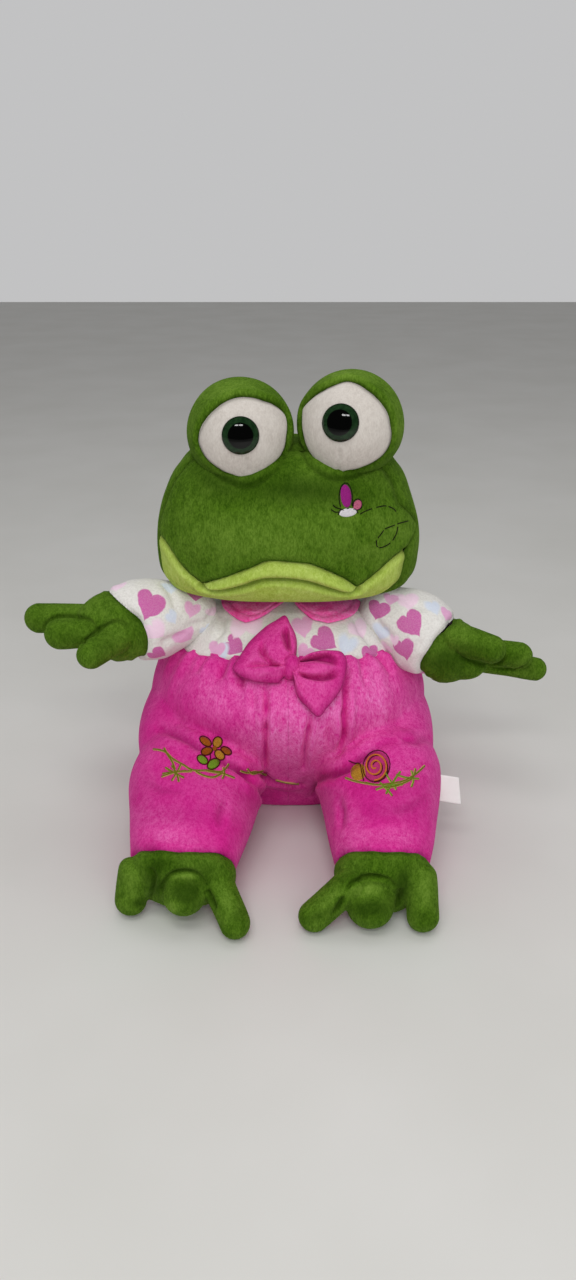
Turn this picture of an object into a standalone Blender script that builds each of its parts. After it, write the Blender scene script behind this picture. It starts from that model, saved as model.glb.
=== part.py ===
"""A plush frog that sits with its arms out and its short legs forward.

It wears a fleece top, pile trousers, a collar of two lobes and a bow. Sizes are metres, Z is
up and it faces -Y. The origin is on the floor under the seat. Left and right are the toy's
own, so its right side is at -X. Each stuffed shape is a stack of oval sections. Fabric panels
are shells cut from that shape along their seams, and the filling lies inside them.
"""

import math

import bmesh
import bpy
from mathutils import Matrix, Vector

# Fabric, and the gaps between neighbours
PILE_CLOTH = 0.0016
TOUCH_GAP = 0.0004
SEAM_GAP = 0.0006
LINING_GAP = 0.0010
JOINT_GAP = 0.0010
CUT_OVERRUN = 0.060
NUDGE = 0.00001

# Head
HEAD_HEIGHT = 0.1100
HEAD_BASE_Z = 0.1810
HEAD_HALF_WIDTH = 0.0945
HEAD_FRONT = 0.057
HEAD_BACK = 0.058
HEAD_Y = -0.018
HEAD_SIDE_SEAM_Y = -0.026
HEAD_SQUARENESS = 2.35
HEAD_SHARES = (
    (0.00, 0.00, 0.00, 0.00),
    (0.03, 0.70, 0.60, 0.45),
    (0.12, 0.92, 0.84, 0.68),
    (0.28, 0.995, 0.96, 0.91),
    (0.47, 0.98, 1.00, 0.99),
    (0.66, 0.915, 0.93, 0.98),
    (0.82, 0.82, 0.71, 0.80),
    (0.95, 0.59, 0.40, 0.49),
    (1.00, 0.00, 0.00, 0.00),
)
FACE_SEAM_SHARES = (
    (-1.25, 0.45),
    (-0.95, 0.34),
    (-0.80, 0.23),
    (-0.64, 0.143),
    (-0.46, 0.20),
    (-0.27, 0.28),
    (-0.03, 0.336),
    (0.17, 0.305),
    (0.36, 0.23),
    (0.51, 0.124),
    (0.66, 0.19),
    (0.86, 0.318),
    (1.25, 0.45),
)
MOUTH_SHARES = (
    (-0.64, 0.100),
    (-0.42, 0.125),
    (-0.20, 0.195),
    (-0.04, 0.215),
    (0.14, 0.190),
    (0.31, 0.140),
    (0.51, 0.070),
)

# Neck: a ball of filling that the head turns and nods on
NECK_RADIUS = 0.020
NECK_Y = -0.015
NECK_Z = 0.1745

# Eyes: a stuffed ball, a cap and a front disc of fabric, and a plastic eye with its washer
EYE_BALL_RADIUS = 0.036
EYE_WHITE_REACH = 0.0175
RIGHT_EYE_X = -0.0320
LEFT_EYE_X = 0.0405
EYE_Y = -0.033
RIGHT_EYE_RISE = 0.117
LEFT_EYE_RISE = 0.122
PLASTIC_EYE_RADIUS = 0.0121
PLASTIC_EYE_HEIGHT = 0.0062
PLASTIC_EYE_EDGE = 0.0011
RIGHT_EYE_LOOK = (-0.01, -1.0, 0.16)
LEFT_EYE_LOOK = (-0.22, -1.0, 0.22)
STEM_RADIUS = 0.0024
STEM_LENGTH = 0.0165
WASHER_RADIUS = 0.0080
WASHER_THICKNESS = 0.0014
WASHER_HOLE_GAP = 0.0003
POCKET_GAP = 0.0005

# Torso, from the seat to the neck
TORSO_HEIGHT = 0.1815
TORSO_BASE_Z = -0.004
TORSO_HALF_WIDTH = 0.107
TORSO_FRONT = 0.105
TORSO_BACK = 0.060
TORSO_SQUARENESS = 2.2
TORSO_SHARES = (
    (0.000, 0.00, 0.00, 0.00),
    (0.016, 0.66, 0.35, 0.64),
    (0.143, 0.86, 0.48, 0.90),
    (0.341, 0.97, 0.73, 1.00),
    (0.527, 1.00, 0.945, 0.985),
    (0.687, 0.915, 1.00, 0.92),
    (0.824, 0.745, 0.81, 0.79),
    (0.934, 0.49, 0.57, 0.63),
    (1.000, 0.00, 0.00, 0.00),
)
WAIST_Z = 0.150
TORSO_SIDE_SEAM_Y = 0.004
SEAT_INSET = 0.0006

# Arms
ARM_ROOT_RADIUS = 0.020
ARM_ROOT_X = 0.072
ARM_Y = -0.030
ARM_Z = 0.1635
ARM_LENGTH = 0.047
ARM_SWELL = 0.0285
WRIST_RADIUS = 0.0240
RIGHT_ARM_SLOPE_DEG = 3.0
LEFT_ARM_SLOPE_DEG = 25.0
ARM_FORWARD_DEG = 20.0
ARM_SHARES = (
    (0.26, 0.85, 0.85, 0.85),
    (0.56, 1.00, 1.00, 1.00),
    (0.82, 1.00, 0.97, 0.97),
)
ARMHOLE_SHARE = 0.78
RIGHT_ARM_DOWN_DEG = 20.0
LEFT_ARM_DOWN_DEG = 12.0
RIGHT_ARM_UP_DEG = 6.0
LEFT_ARM_UP_DEG = 20.0
ARM_SWEEP_GAP = 0.0014
PALM_LENGTH = 0.029
PALM_REACH = 0.006
PALM_HALF_HEIGHT = 0.0240
PALM_HALF_WIDTH = 0.0240
FINGER_RADIUS = 0.0124
FINGER_BASE_SHARE = 0.30
FINGER_ROOT_SHARE = 0.92
FINGER_MIDDLE_SHARE = 0.95
FINGER_UP = (0.01, 0.02, 1.0)
RIGHT_FINGER_REACH = (
    (-0.073, 0.001, 0.006),
    (-0.056, -0.017, 0.002),
    (-0.030, -0.034, -0.008),
)
LEFT_FINGER_REACH = (
    (0.041, -0.026, 0.008),
    (0.069, 0.006, -0.008),
    (0.077, -0.009, -0.015),
)

# Legs
LEG_RADIUS = 0.0490
LEG_X = 0.0670
LEG_Y = -0.085
LEG_Z = 0.0485
LEG_LENGTH = 0.070
HEM_HALF_WIDTH = 0.036
HEM_HALF_HEIGHT = 0.029
HEM_DROP = 0.0175
RIGHT_HEM_SHIFT = -0.004
LEFT_HEM_SHIFT = -0.003
LEG_OPENING_SHARE = 0.60
LEG_TAPER_SHARES = ((0.30, 0.27), (0.62, 0.56), (0.86, 0.84))
LEG_UP_DEG = 4.0
LEG_DOWN_DEG = 60.0
LEG_SWEEP_GAP = 0.0024
FOOT_HALF_WIDTH = 0.0362
FOOT_HALF_HEIGHT = 0.0292
FOOT_LENGTH = 0.016
SIDE_TOE_RADIUS = 0.0113
MIDDLE_TOE_RADIUS = 0.0148
TOE_BASE_ACROSS_SHARE = 0.74
TOE_BASE_FORWARD_SHARE = 0.12
TOE_BASE_HEIGHT_SHARE = 0.22
RIGHT_TOE_REACH = (
    (-0.034, -0.017, -0.018),
    (0.004, -0.020, 0.003),
    (0.031, -0.028, -0.019),
)
LEFT_TOE_REACH = (
    (-0.046, -0.028, -0.017),
    (-0.012, -0.022, -0.004),
    (0.026, -0.027, -0.019),
)

# Collar and bow
COLLAR_THICKNESS = 0.0022
COLLAR_CENTRE_GAP_DEG = 5.0
COLLAR_SPAN_DEG = 78.0
COLLAR_TOP_SHARE = 0.965
COLLAR_END_SHARE = 0.935
COLLAR_LOW_SHARE = 0.868
COLLAR_CURVE_POWER = 0.6
BOW_X = 0.002
BOW_Z = 0.146
BOW_PROUD = 0.0055
KNOT_HALF_WIDTH = 0.0065
KNOT_HALF_HEIGHT = 0.0088
KNOT_HALF_DEPTH = 0.0065
RIGHT_WING_TURN_DEG = 138.0
RIGHT_WING_LENGTH = 0.033
RIGHT_WING_HALF_EDGE = 0.025
LEFT_WING_TURN_DEG = -27.0
LEFT_WING_LENGTH = 0.039
LEFT_WING_HALF_EDGE = 0.0235
WING_HALF_DEPTH = 0.0058
WING_SQUARENESS = 2.6
WING_SHARES = (
    (-0.06, 0.00, 0.00, 0.00),
    (0.02, 0.34, 0.70, 0.70),
    (0.22, 0.52, 0.95, 0.95),
    (0.45, 0.72, 1.00, 1.00),
    (0.68, 0.90, 0.95, 0.95),
    (0.86, 1.00, 0.80, 0.80),
    (0.97, 0.98, 0.55, 0.55),
    (1.00, 0.00, 0.00, 0.00),
)

# Label in the outer seam of the left leg
LABEL_WIDTH = 0.0155
LABEL_LENGTH = 0.0185
LABEL_THICKNESS = 0.0009
LABEL_Z = 0.058
LABEL_TURN_DEG = -8.0

# Embroidered motifs, as the space that their stitches fill
STITCH_HEIGHT = 0.0011
BUTTERFLY_X = 0.0395
BUTTERFLY_RISE = 0.078
BUTTERFLY_WIDTH = 0.0180
BUTTERFLY_BLOB_SHARES = (
    (-0.10, 0.30, 0.24, 0.46, -10.0),
    (0.46, 0.02, 0.18, 0.28, 30.0),
    (-0.02, -0.36, 0.42, 0.20, -8.0),
)
FLOWER_X = -0.050
FLOWER_RISE = 0.0085
FLOWER_WIDTH = 0.0190
FLOWER_BLOB_SHARES = (
    (0.00, 0.10, 0.46, 0.46, 0.0),
    (-0.45, -0.50, 0.40, 0.18, 35.0),
    (0.42, -0.52, 0.40, 0.18, -35.0),
)
SNAIL_AZIMUTH_DEG = 62.0
SNAIL_POLAR = 0.60
SNAIL_WIDTH = 0.0230
SNAIL_BLOB_SHARES = (
    (0.10, 0.14, 0.42, 0.42, 0.0),
    (-0.40, -0.14, 0.30, 0.17, 66.0),
    (0.00, -0.33, 0.60, 0.17, 3.0),
)

# How finely the shapes are divided
AROUND = {
    "head": 24,
    "torso": 24,
    "leg": 16,
    "arm": 14,
    "eye": 16,
    "neck": 16,
    "finger": 8,
    "palm": 14,
    "knot": 12,
    "wing": 12,
    "stitch": 10,
    "sweep": 12,
    "plastic_eye": 20,
    "washer": 16,
    "stem_hole": 12,
}
STEPS = {
    "head": 12,
    "torso": 12,
    "leg": 10,
    "arm": 9,
    "eye": 10,
    "neck": 10,
    "finger": 7,
    "palm": 8,
    "knot": 8,
    "wing": 9,
    "stitch": 4,
    "sweep": 8,
}
COUNTS = {
    "eye_half": 4,
    "limb_root": 4,
    "finger_end": 2,
    "dome": 4,
    "seam": 3,
    "collar_across": 10,
    "collar_deep": 3,
    "halvings": 40,
}
ANGLE_STEP_SHARE = 0.002


def clear_scene():
    for obj in list(bpy.data.objects):
        bpy.data.objects.remove(obj)


clear_scene()
PARTS = bpy.data.collections.new("plush_frog")
CUTTERS = bpy.data.collections.new("cutters")
bpy.context.scene.collection.children.link(PARTS)
bpy.context.scene.collection.children.link(CUTTERS)
CUTTERS.hide_render = True


def material(name, colour, roughness, coat=0.0):
    """A Principled material with the part's own colour."""
    made = bpy.data.materials.new(name)
    made.use_nodes = True
    shader = made.node_tree.nodes["Principled BSDF"]
    shader.inputs["Base Color"].default_value = (*colour, 1.0)
    shader.inputs["Roughness"].default_value = roughness
    shader.inputs["Metallic"].default_value = 0.0
    shader.inputs["Coat Weight"].default_value = coat
    made.diffuse_color = (*colour, 1.0)
    return made


GREEN = material("green_pile", (0.075, 0.195, 0.018), 0.85)
LIGHT_GREEN = material("light_green_pile", (0.38, 0.56, 0.10), 0.85)
PINK = material("pink_pile", (0.65, 0.045, 0.26), 0.85)
COLLAR_PINK = material("collar_pink_pile", (0.62, 0.035, 0.22), 0.85)
FLEECE = material("heart_fleece", (0.85, 0.83, 0.80), 0.90)
EYE_CLOTH = material("eye_white_pile", (0.70, 0.62, 0.58), 0.85)
EYE_PLASTIC = material("eye_plastic", (0.015, 0.040, 0.018), 0.12, 0.4)
WASHER_PLASTIC = material("washer_plastic", (0.75, 0.75, 0.73), 0.45)
FILLING = material("polyester_filling", (0.88, 0.88, 0.86), 0.95)
LABEL_CLOTH = material("label_satin", (0.86, 0.86, 0.84), 0.50)
MAGENTA_THREAD = material("magenta_thread", (0.50, 0.06, 0.26), 0.55)
BROWN_THREAD = material("brown_thread", (0.36, 0.20, 0.06), 0.55)
ORANGE_THREAD = material("orange_thread", (0.72, 0.22, 0.06), 0.55)


def blended(before, start, end, after, share):
    """A point of the smooth curve through four values, between the two in the middle."""
    square = share * share
    cube = square * share
    return 0.5 * (
        2 * start
        + (end - before) * share
        + (2 * before - 5 * start + 4 * end - after) * square
        + (3 * start - before - 3 * end + after) * cube
    )


def signed_power(value, power):
    return math.copysign(abs(value) ** power, value)


class Form:
    """Oval sections along a local Z axis, each row giving its place on the axis, its half
    width along local X, and its reach towards local -Y and +Y. Both ends close in a point."""

    def __init__(self, rows, place, squareness=2.0):
        self.rows = rows
        self.place = place
        self.power = 2.0 / squareness

    def row(self, polar):
        last = len(self.rows) - 1
        place = min(max(polar, 0.0), 1.0) * last
        first = min(int(place), last - 1)
        share = place - first
        start = self.rows[first]
        end = self.rows[first + 1]
        before = self.rows[first - 1] if first else self.across_pole(self.rows[1])
        beyond = self.rows[first + 2] if first + 2 <= last else self.across_pole(self.rows[last - 1])
        return [blended(*four, share) for four in zip(before, start, end, beyond)]

    @staticmethod
    def across_pole(row):
        """The neighbour row seen over the pole, which makes the pole round."""
        along, width, front, back = row
        return (along, -width, -front, -back)

    def local(self, azimuth, polar):
        along, width, front, back = self.row(polar)
        deep = math.sin(azimuth)
        reach = back if deep > 0 else front
        return Vector(
            (
                width * signed_power(math.cos(azimuth), self.power),
                reach * signed_power(deep, self.power),
                along,
            )
        )

    def normal(self, azimuth, polar):
        if polar < ANGLE_STEP_SHARE:
            return self.turned(Vector((0, 0, -1)))
        if polar > 1 - ANGLE_STEP_SHARE:
            return self.turned(Vector((0, 0, 1)))
        after, before = azimuth + ANGLE_STEP_SHARE, azimuth - ANGLE_STEP_SHARE
        above, below = polar + ANGLE_STEP_SHARE, polar - ANGLE_STEP_SHARE
        around = self.local(after, polar) - self.local(before, polar)
        up = self.local(azimuth, above) - self.local(azimuth, below)
        return self.turned(around.cross(up).normalized())

    def turned(self, direction):
        return (self.place.to_3x3() @ direction).normalized()

    def point(self, azimuth, polar, out=0.0):
        """A point of the surface, moved out along its normal."""
        point = self.place @ self.local(azimuth, polar)
        if out:
            point += self.normal(azimuth, polar) * out
        return point

    def angles_at(self, x, z):
        """The azimuth and polar share of the front point with this local x and z."""
        low = 0.0
        high = 1.0
        for _ in range(COUNTS["halvings"]):
            middle = (low + high) / 2
            if self.row(middle)[0] < z:
                low = middle
            else:
                high = middle
        width = self.row(low)[1]
        share = min(abs(x) / width, 1.0) ** (1 / self.power)
        angle = math.acos(math.copysign(share, x))
        return -angle, low

    def mesh(self, out, around, steps):
        """The closed surface, moved out or, below zero, in."""
        shape = bmesh.new()
        bmesh.ops.create_uvsphere(shape, u_segments=around, v_segments=steps, radius=1)
        for vertex in shape.verts:
            azimuth = math.atan2(vertex.co.y, vertex.co.x)
            polar = math.acos(min(max(-vertex.co.z, -1.0), 1.0)) / math.pi
            vertex.co = self.point(azimuth, polar, out)
        bmesh.ops.recalc_face_normals(shape, faces=shape.faces)
        return shape


def aimed(origin, along, up):
    """A frame at this origin, its Z along one direction and its Y nearest to the other."""
    z_axis = Vector(along).normalized()
    x_axis = Vector(up).cross(z_axis).normalized()
    y_axis = z_axis.cross(x_axis)
    turn = Matrix((x_axis, y_axis, z_axis)).transposed().to_4x4()
    return Matrix.Translation(Vector(origin)) @ turn


def sized(shares, length, half_width, front, back):
    """A table of shares as rows in metres."""
    return [(a * length, w * half_width, f * front, b * back) for a, w, f, b in shares]


def link(name, shape, colour, collection=PARTS):
    mesh = bpy.data.meshes.new(name)
    shape.to_mesh(mesh)
    shape.free()
    obj = bpy.data.objects.new(name, mesh)
    collection.objects.link(obj)
    if colour:
        mesh.materials.append(colour)
        mesh.shade_smooth()
    if collection is CUTTERS:
        obj.hide_render = True
        obj.display_type = "WIRE"
    return obj


def cutter(name, shape):
    return link(name, shape, None, CUTTERS)


def cut(obj, *tools, operation="DIFFERENCE"):
    for tool in tools:
        boolean = obj.modifiers.new(tool.name, "BOOLEAN")
        boolean.operation = operation
        boolean.object = tool
        boolean.solver = "EXACT"
    return obj


def keep_below(shape, point, normal, fill=False):
    """Cuts an open or closed surface with a plane and drops what lies beyond it."""
    everything = list(shape.verts) + list(shape.edges) + list(shape.faces)
    found = bmesh.ops.bisect_plane(
        shape, geom=everything, plane_co=point, plane_no=normal, clear_outer=True
    )
    if fill:
        rim = [piece for piece in found["geom_cut"] if isinstance(piece, bmesh.types.BMEdge)]
        bmesh.ops.edgeloop_fill(shape, edges=rim)


def settled(obj):
    """Applies the modifiers and keeps the main body, without the crumbs that cuts leave."""
    graph = bpy.context.evaluated_depsgraph_get()
    mesh = bpy.data.meshes.new_from_object(obj.evaluated_get(graph))
    shape = bmesh.new()
    shape.from_mesh(mesh)
    bmesh.ops.remove_doubles(shape, verts=shape.verts, dist=NUDGE)
    unseen = set(shape.faces)
    islands = []
    while unseen:
        queue = [unseen.pop()]
        island = list(queue)
        while queue:
            for edge in queue.pop().edges:
                for face in edge.link_faces:
                    if face in unseen:
                        unseen.remove(face)
                        queue.append(face)
                        island.append(face)
        islands.append(island)
    islands.sort(key=lambda island: sum(face.calc_area() for face in island))
    crumbs = [face for island in islands[:-1] for face in island]
    bmesh.ops.delete(shape, geom=crumbs, context="FACES")
    shape.to_mesh(mesh)
    shape.free()
    obj.modifiers.clear()
    obj.data = mesh
    mesh.shade_smooth()
    return obj


def thickened(obj, thickness, offset=-1.0):
    """Gives an open surface its cloth thickness, inwards unless told otherwise."""
    wall = obj.modifiers.new("cloth", "SOLIDIFY")
    wall.thickness = thickness
    wall.offset = offset
    wall.use_even_offset = True
    return obj


def panel(name, form, kind, planes, colour):
    """A fabric panel: the form's surface between its seam planes, with its thickness."""
    shape = form.mesh(0.0, AROUND[kind], STEPS[kind])
    for point, normal in planes:
        keep_below(shape, point, normal)
    return thickened(link(name, shape, colour), PILE_CLOTH)


def filling(name, form, kind, planes=()):
    """The stuffing inside a form, closed where a plane cuts it."""
    shape = form.mesh(-(PILE_CLOTH + LINING_GAP), AROUND[kind], STEPS[kind])
    for point, normal in planes:
        keep_below(shape, point, normal, fill=True)
    return link(name, shape, FILLING)


def grown(name, form, kind, out):
    return cutter(name, form.mesh(out, AROUND[kind], STEPS[kind]))


def ball(centre, radius, around, steps):
    shape = bmesh.new()
    bmesh.ops.create_uvsphere(shape, u_segments=around, v_segments=steps, radius=radius)
    bmesh.ops.translate(shape, verts=shape.verts, vec=centre)
    return shape


def rod(place, radius, start, end, sides):
    """A closed cylinder along local Z, from one distance to another."""
    shape = bmesh.new()
    bmesh.ops.create_cone(
        shape, cap_ends=True, segments=sides, radius1=radius, radius2=radius, depth=end - start
    )
    bmesh.ops.translate(shape, verts=shape.verts, vec=(0, 0, (start + end) / 2))
    bmesh.ops.transform(shape, matrix=place, verts=shape.verts)
    return shape


def joined(name, shapes, colour):
    """Overlapping closed shapes made one body."""
    obj = link(name, shapes[0], colour)
    tools = [cutter(f"{name}_{number}", shape) for number, shape in enumerate(shapes[1:])]
    return settled(cut(obj, *tools, operation="UNION"))


def swept(name, form, pivot, axis, angles, out):
    """One convex cutter round all the places that a limb takes as it turns."""
    shape = bmesh.new()
    for angle in angles:
        turn = Matrix.Rotation(math.radians(angle), 4, Vector(axis))
        move = Matrix.Translation(pivot) @ turn @ Matrix.Translation(-pivot)
        copy = form.mesh(out, AROUND["sweep"], STEPS["sweep"])
        for vertex in copy.verts:
            shape.verts.new(move @ vertex.co)
        copy.free()
    hull = bmesh.ops.convex_hull(shape, input=shape.verts)
    spare = set(hull["geom_interior"] + hull["geom_unused"])
    loose = [piece for piece in spare if isinstance(piece, bmesh.types.BMVert)]
    bmesh.ops.delete(shape, geom=loose, context="VERTS")
    return cutter(name, shape)


def prism(name, outline):
    """A closed block whose outline is given in X and Z, running front to back."""
    shape = bmesh.new()
    corners = [shape.verts.new((x, -(HEAD_FRONT + CUT_OVERRUN) * 2, z)) for x, z in outline]
    face = shape.faces.new(corners)
    made = bmesh.ops.extrude_face_region(shape, geom=[face])
    moved = [piece for piece in made["geom"] if isinstance(piece, bmesh.types.BMVert)]
    depth = (HEAD_FRONT + HEAD_BACK + CUT_OVERRUN * 2) * 2
    bmesh.ops.translate(shape, verts=moved, vec=(0, depth, 0))
    bmesh.ops.recalc_face_normals(shape, faces=shape.faces)
    return cutter(name, shape)


def smooth_line(points, pieces):
    """More points on the smooth curve through these, in X and Z."""
    line = []
    for number in range(len(points) - 1):
        four = [points[max(number - 1, 0)], points[number], points[number + 1]]
        four.append(points[min(number + 2, len(points) - 1)])
        for step in range(pieces):
            line.append([blended(*values, step / pieces) for values in zip(*four)])
    line.append(list(points[-1]))
    return line


def axis_empty(name, place, parent=None):
    """An empty on a joint's axis, which carries the pieces that move with it."""
    empty = bpy.data.objects.new(name, None)
    PARTS.objects.link(empty)
    empty.location = place
    empty.empty_display_size = ARM_ROOT_RADIUS
    bpy.context.view_layer.update()
    if parent:
        carry(parent, [empty])
    return empty


def carry(parent, pieces):
    bpy.context.view_layer.update()
    for piece in pieces:
        piece.parent = parent
        piece.matrix_parent_inverse = parent.matrix_world.inverted()


# The stuffed shapes that everything else is cut from or set on
HEAD = Form(
    sized(HEAD_SHARES, HEAD_HEIGHT, HEAD_HALF_WIDTH, HEAD_FRONT, HEAD_BACK),
    Matrix.Translation((0, HEAD_Y, HEAD_BASE_Z)),
    HEAD_SQUARENESS,
)
TORSO = Form(
    sized(TORSO_SHARES, TORSO_HEIGHT, TORSO_HALF_WIDTH, TORSO_FRONT, TORSO_BACK),
    Matrix.Translation((0, 0, TORSO_BASE_Z)),
    TORSO_SQUARENESS,
)
NECK_PIVOT = Vector((0, NECK_Y, NECK_Z))


def round_end(radius, centre, count, closing):
    """Rows of a half ball, opening from a point or closing to one."""
    rows = []
    for step in range(count):
        angle = math.pi / 2 * step / count
        if closing:
            angle = math.pi / 2 * (step + 1) / count
            along = centre + radius * math.sin(angle)
            width = radius * math.cos(angle) if step < count - 1 else 0.0
        else:
            along = centre - radius * math.cos(angle)
            width = radius * math.sin(angle)
        rows.append((along, width, width, width))
    return rows


def limb(root, direction, up, root_radius, body):
    """A limb whose root is half a ball round its pivot, so that it turns in its socket."""
    rows = round_end(root_radius, 0.0, COUNTS["limb_root"], closing=False)
    rows.append((0.0, root_radius, root_radius, root_radius))
    rows.extend(body)
    return Form(rows, aimed(root, direction, up))


def arm_form(side):
    slope = math.radians(RIGHT_ARM_SLOPE_DEG if side < 0 else LEFT_ARM_SLOPE_DEG)
    forward = math.radians(ARM_FORWARD_DEG)
    level = math.cos(slope)
    direction = Vector(
        (side * level * math.cos(forward), -level * math.sin(forward), -math.sin(slope))
    )
    root = Vector((side * ARM_ROOT_X, ARM_Y, ARM_Z))
    half_wrist = WRIST_RADIUS / 2
    body = sized(ARM_SHARES, ARM_LENGTH, ARM_SWELL, ARM_SWELL, ARM_SWELL)
    body.append((ARM_LENGTH, WRIST_RADIUS, WRIST_RADIUS, WRIST_RADIUS))
    body.append((ARM_LENGTH + half_wrist, half_wrist, half_wrist, half_wrist))
    body.append((ARM_LENGTH + half_wrist, 0.0, 0.0, 0.0))
    return limb(root, direction, (0, 0, 1), ARM_ROOT_RADIUS, body), root, direction


def leg_form(side):
    shift = RIGHT_HEM_SHIFT if side < 0 else LEFT_HEM_SHIFT
    direction = Vector((shift, -LEG_LENGTH, -HEM_DROP)).normalized()
    root = Vector((side * LEG_X, LEG_Y, LEG_Z))
    body = []
    for along_share, hem_share in LEG_TAPER_SHARES:
        width = LEG_RADIUS + (HEM_HALF_WIDTH - LEG_RADIUS) * hem_share
        height = LEG_RADIUS + (HEM_HALF_HEIGHT - LEG_RADIUS) * hem_share
        body.append((LEG_LENGTH * along_share, width, height, height))
    body.append((LEG_LENGTH, HEM_HALF_WIDTH, HEM_HALF_HEIGHT, HEM_HALF_HEIGHT))
    beyond = LEG_LENGTH + FOOT_LENGTH
    body.append((beyond, HEM_HALF_WIDTH / 2, HEM_HALF_HEIGHT / 2, HEM_HALF_HEIGHT / 2))
    body.append((beyond, 0.0, 0.0, 0.0))
    return limb(root, direction, (0, 0, 1), LEG_RADIUS, body), root, direction


ARMS = {name: arm_form(side) for name, side in (("right", -1), ("left", 1))}
LEGS = {name: leg_form(side) for name, side in (("right", -1), ("left", 1))}


def neck_ball(out):
    return ball(NECK_PIVOT, NECK_RADIUS + out, AROUND["neck"], STEPS["neck"])


def make_cutters():
    """Tools that cut the torso and the head where something is set into them."""
    tools = {
        "neck": cutter("neck_tool", neck_ball(JOINT_GAP)),
        "head": grown("head_tool", HEAD, "head", TOUCH_GAP),
        "torso": grown("torso_tool", TORSO, "torso", TOUCH_GAP),
    }
    for name, (form, root, _) in ARMS.items():
        sign = 1 if name == "left" else -1
        up = LEFT_ARM_UP_DEG if name == "left" else RIGHT_ARM_UP_DEG
        down = LEFT_ARM_DOWN_DEG if name == "left" else RIGHT_ARM_DOWN_DEG
        angles = [sign * angle for angle in (down, 0, -up)]
        tools["arm_" + name] = swept(
            f"arm_{name}_tool", form, root, (0, 1, 0), angles, ARM_SWEEP_GAP
        )
    for name, (form, root, _) in LEGS.items():
        angles = [LEG_DOWN_DEG, LEG_DOWN_DEG / 2, -LEG_UP_DEG]
        tools["leg_" + name] = swept(
            f"leg_{name}_tool", form, root, (1, 0, 0), angles, LEG_SWEEP_GAP
        )
    return tools


TOOLS = make_cutters()


def face_outline(points):
    """Points given as shares of the head's half width and height, in X and Z."""
    return [(x * HEAD_HALF_WIDTH, HEAD_BASE_Z + z * HEAD_HEIGHT) for x, z in points]


def lowered(line, drop):
    return [(x, z - drop) for x, z in line]


def make_head():
    """Face, lip, chin and back panels over the head's filling."""
    seam = smooth_line(face_outline(FACE_SEAM_SHARES), COUNTS["seam"])
    mouth = smooth_line(face_outline(MOUTH_SHARES), COUNTS["seam"])
    wide = seam[-1][0]
    high = HEAD_BASE_Z + HEAD_HEIGHT + CUT_OVERRUN
    low = HEAD_BASE_Z - CUT_OVERRUN
    left_end = mouth[0][0]
    right_end = mouth[-1][0]
    arch = [(x, z) for x, z in seam if left_end <= x <= right_end]
    outer_left = [(x, z) for x, z in seam if x < left_end]
    outer_right = [(x, z) for x, z in seam if x > right_end]
    regions = {
        "face_panel": [(-wide, high)] + seam + [(wide, high)],
        "lip_panel": lowered(arch, SEAM_GAP) + lowered(mouth[::-1], -SEAM_GAP / 2),
        "chin_panel": [(-wide, low)]
        + lowered(outer_left + mouth + outer_right, SEAM_GAP)
        + [(wide, low)],
    }
    front_plane = ((0, HEAD_SIDE_SEAM_Y - SEAM_GAP / 2, 0), (0, 1, 0))
    back_plane = ((0, HEAD_SIDE_SEAM_Y + SEAM_GAP / 2, 0), (0, -1, 0))
    pieces = []
    for name, outline in regions.items():
        colour = GREEN if name == "face_panel" else LIGHT_GREEN
        piece = panel(name, HEAD, "head", [front_plane], colour)
        tool = prism(f"{name}_tool", outline)
        cut(piece, tool, operation="INTERSECT")
        pieces.append(settled(cut(piece, TOOLS["neck"])))
    back = panel("head_back_panel", HEAD, "head", [back_plane], GREEN)
    pieces.append(settled(cut(back, TOOLS["neck"])))
    pieces.append(settled(cut(filling("head_filling", HEAD, "head"), TOOLS["neck"])))
    return pieces


def turned_piece(name, place, profile, sides, colour, closed=False):
    """A profile of radius and distance along local Z, turned round that axis."""
    shape = bmesh.new()
    corners = [shape.verts.new((radius, 0, along)) for radius, along in profile]
    edges = [shape.edges.new(pair) for pair in zip(corners, corners[1:])]
    if closed:
        edges.append(shape.edges.new((corners[-1], corners[0])))
    bmesh.ops.spin(
        shape,
        geom=corners + edges,
        cent=(0, 0, 0),
        axis=(0, 0, 1),
        angle=math.tau,
        steps=sides,
        use_merge=True,
    )
    bmesh.ops.remove_doubles(shape, verts=shape.verts, dist=NUDGE)
    bmesh.ops.recalc_face_normals(shape, faces=shape.faces)
    bmesh.ops.transform(shape, matrix=place, verts=shape.verts)
    return link(name, shape, colour)


def plastic_eye_profile():
    """The domed plastic eye: its front, its edge, its hollow back and its stem."""
    seat = EYE_BALL_RADIUS + TOUCH_GAP
    edge = math.sqrt(seat**2 - PLASTIC_EYE_RADIUS**2)
    back = math.sqrt(seat**2 - STEM_RADIUS**2)
    end = EYE_BALL_RADIUS - STEM_LENGTH
    profile = [(0.0, end), (STEM_RADIUS, end), (STEM_RADIUS, back)]
    middle = (PLASTIC_EYE_RADIUS + STEM_RADIUS) / 2
    profile.append((middle, math.sqrt(seat**2 - middle**2)))
    profile.append((PLASTIC_EYE_RADIUS, edge))
    dome_base = edge + PLASTIC_EYE_EDGE
    dome = PLASTIC_EYE_HEIGHT - PLASTIC_EYE_EDGE
    steps = COUNTS["dome"]
    for step in range(steps + 1):
        angle = math.pi / 2 * step / steps
        radius = PLASTIC_EYE_RADIUS * math.cos(angle) if step < steps else 0.0
        profile.append((radius, dome_base + dome * math.sin(angle)))
    return profile


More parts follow.
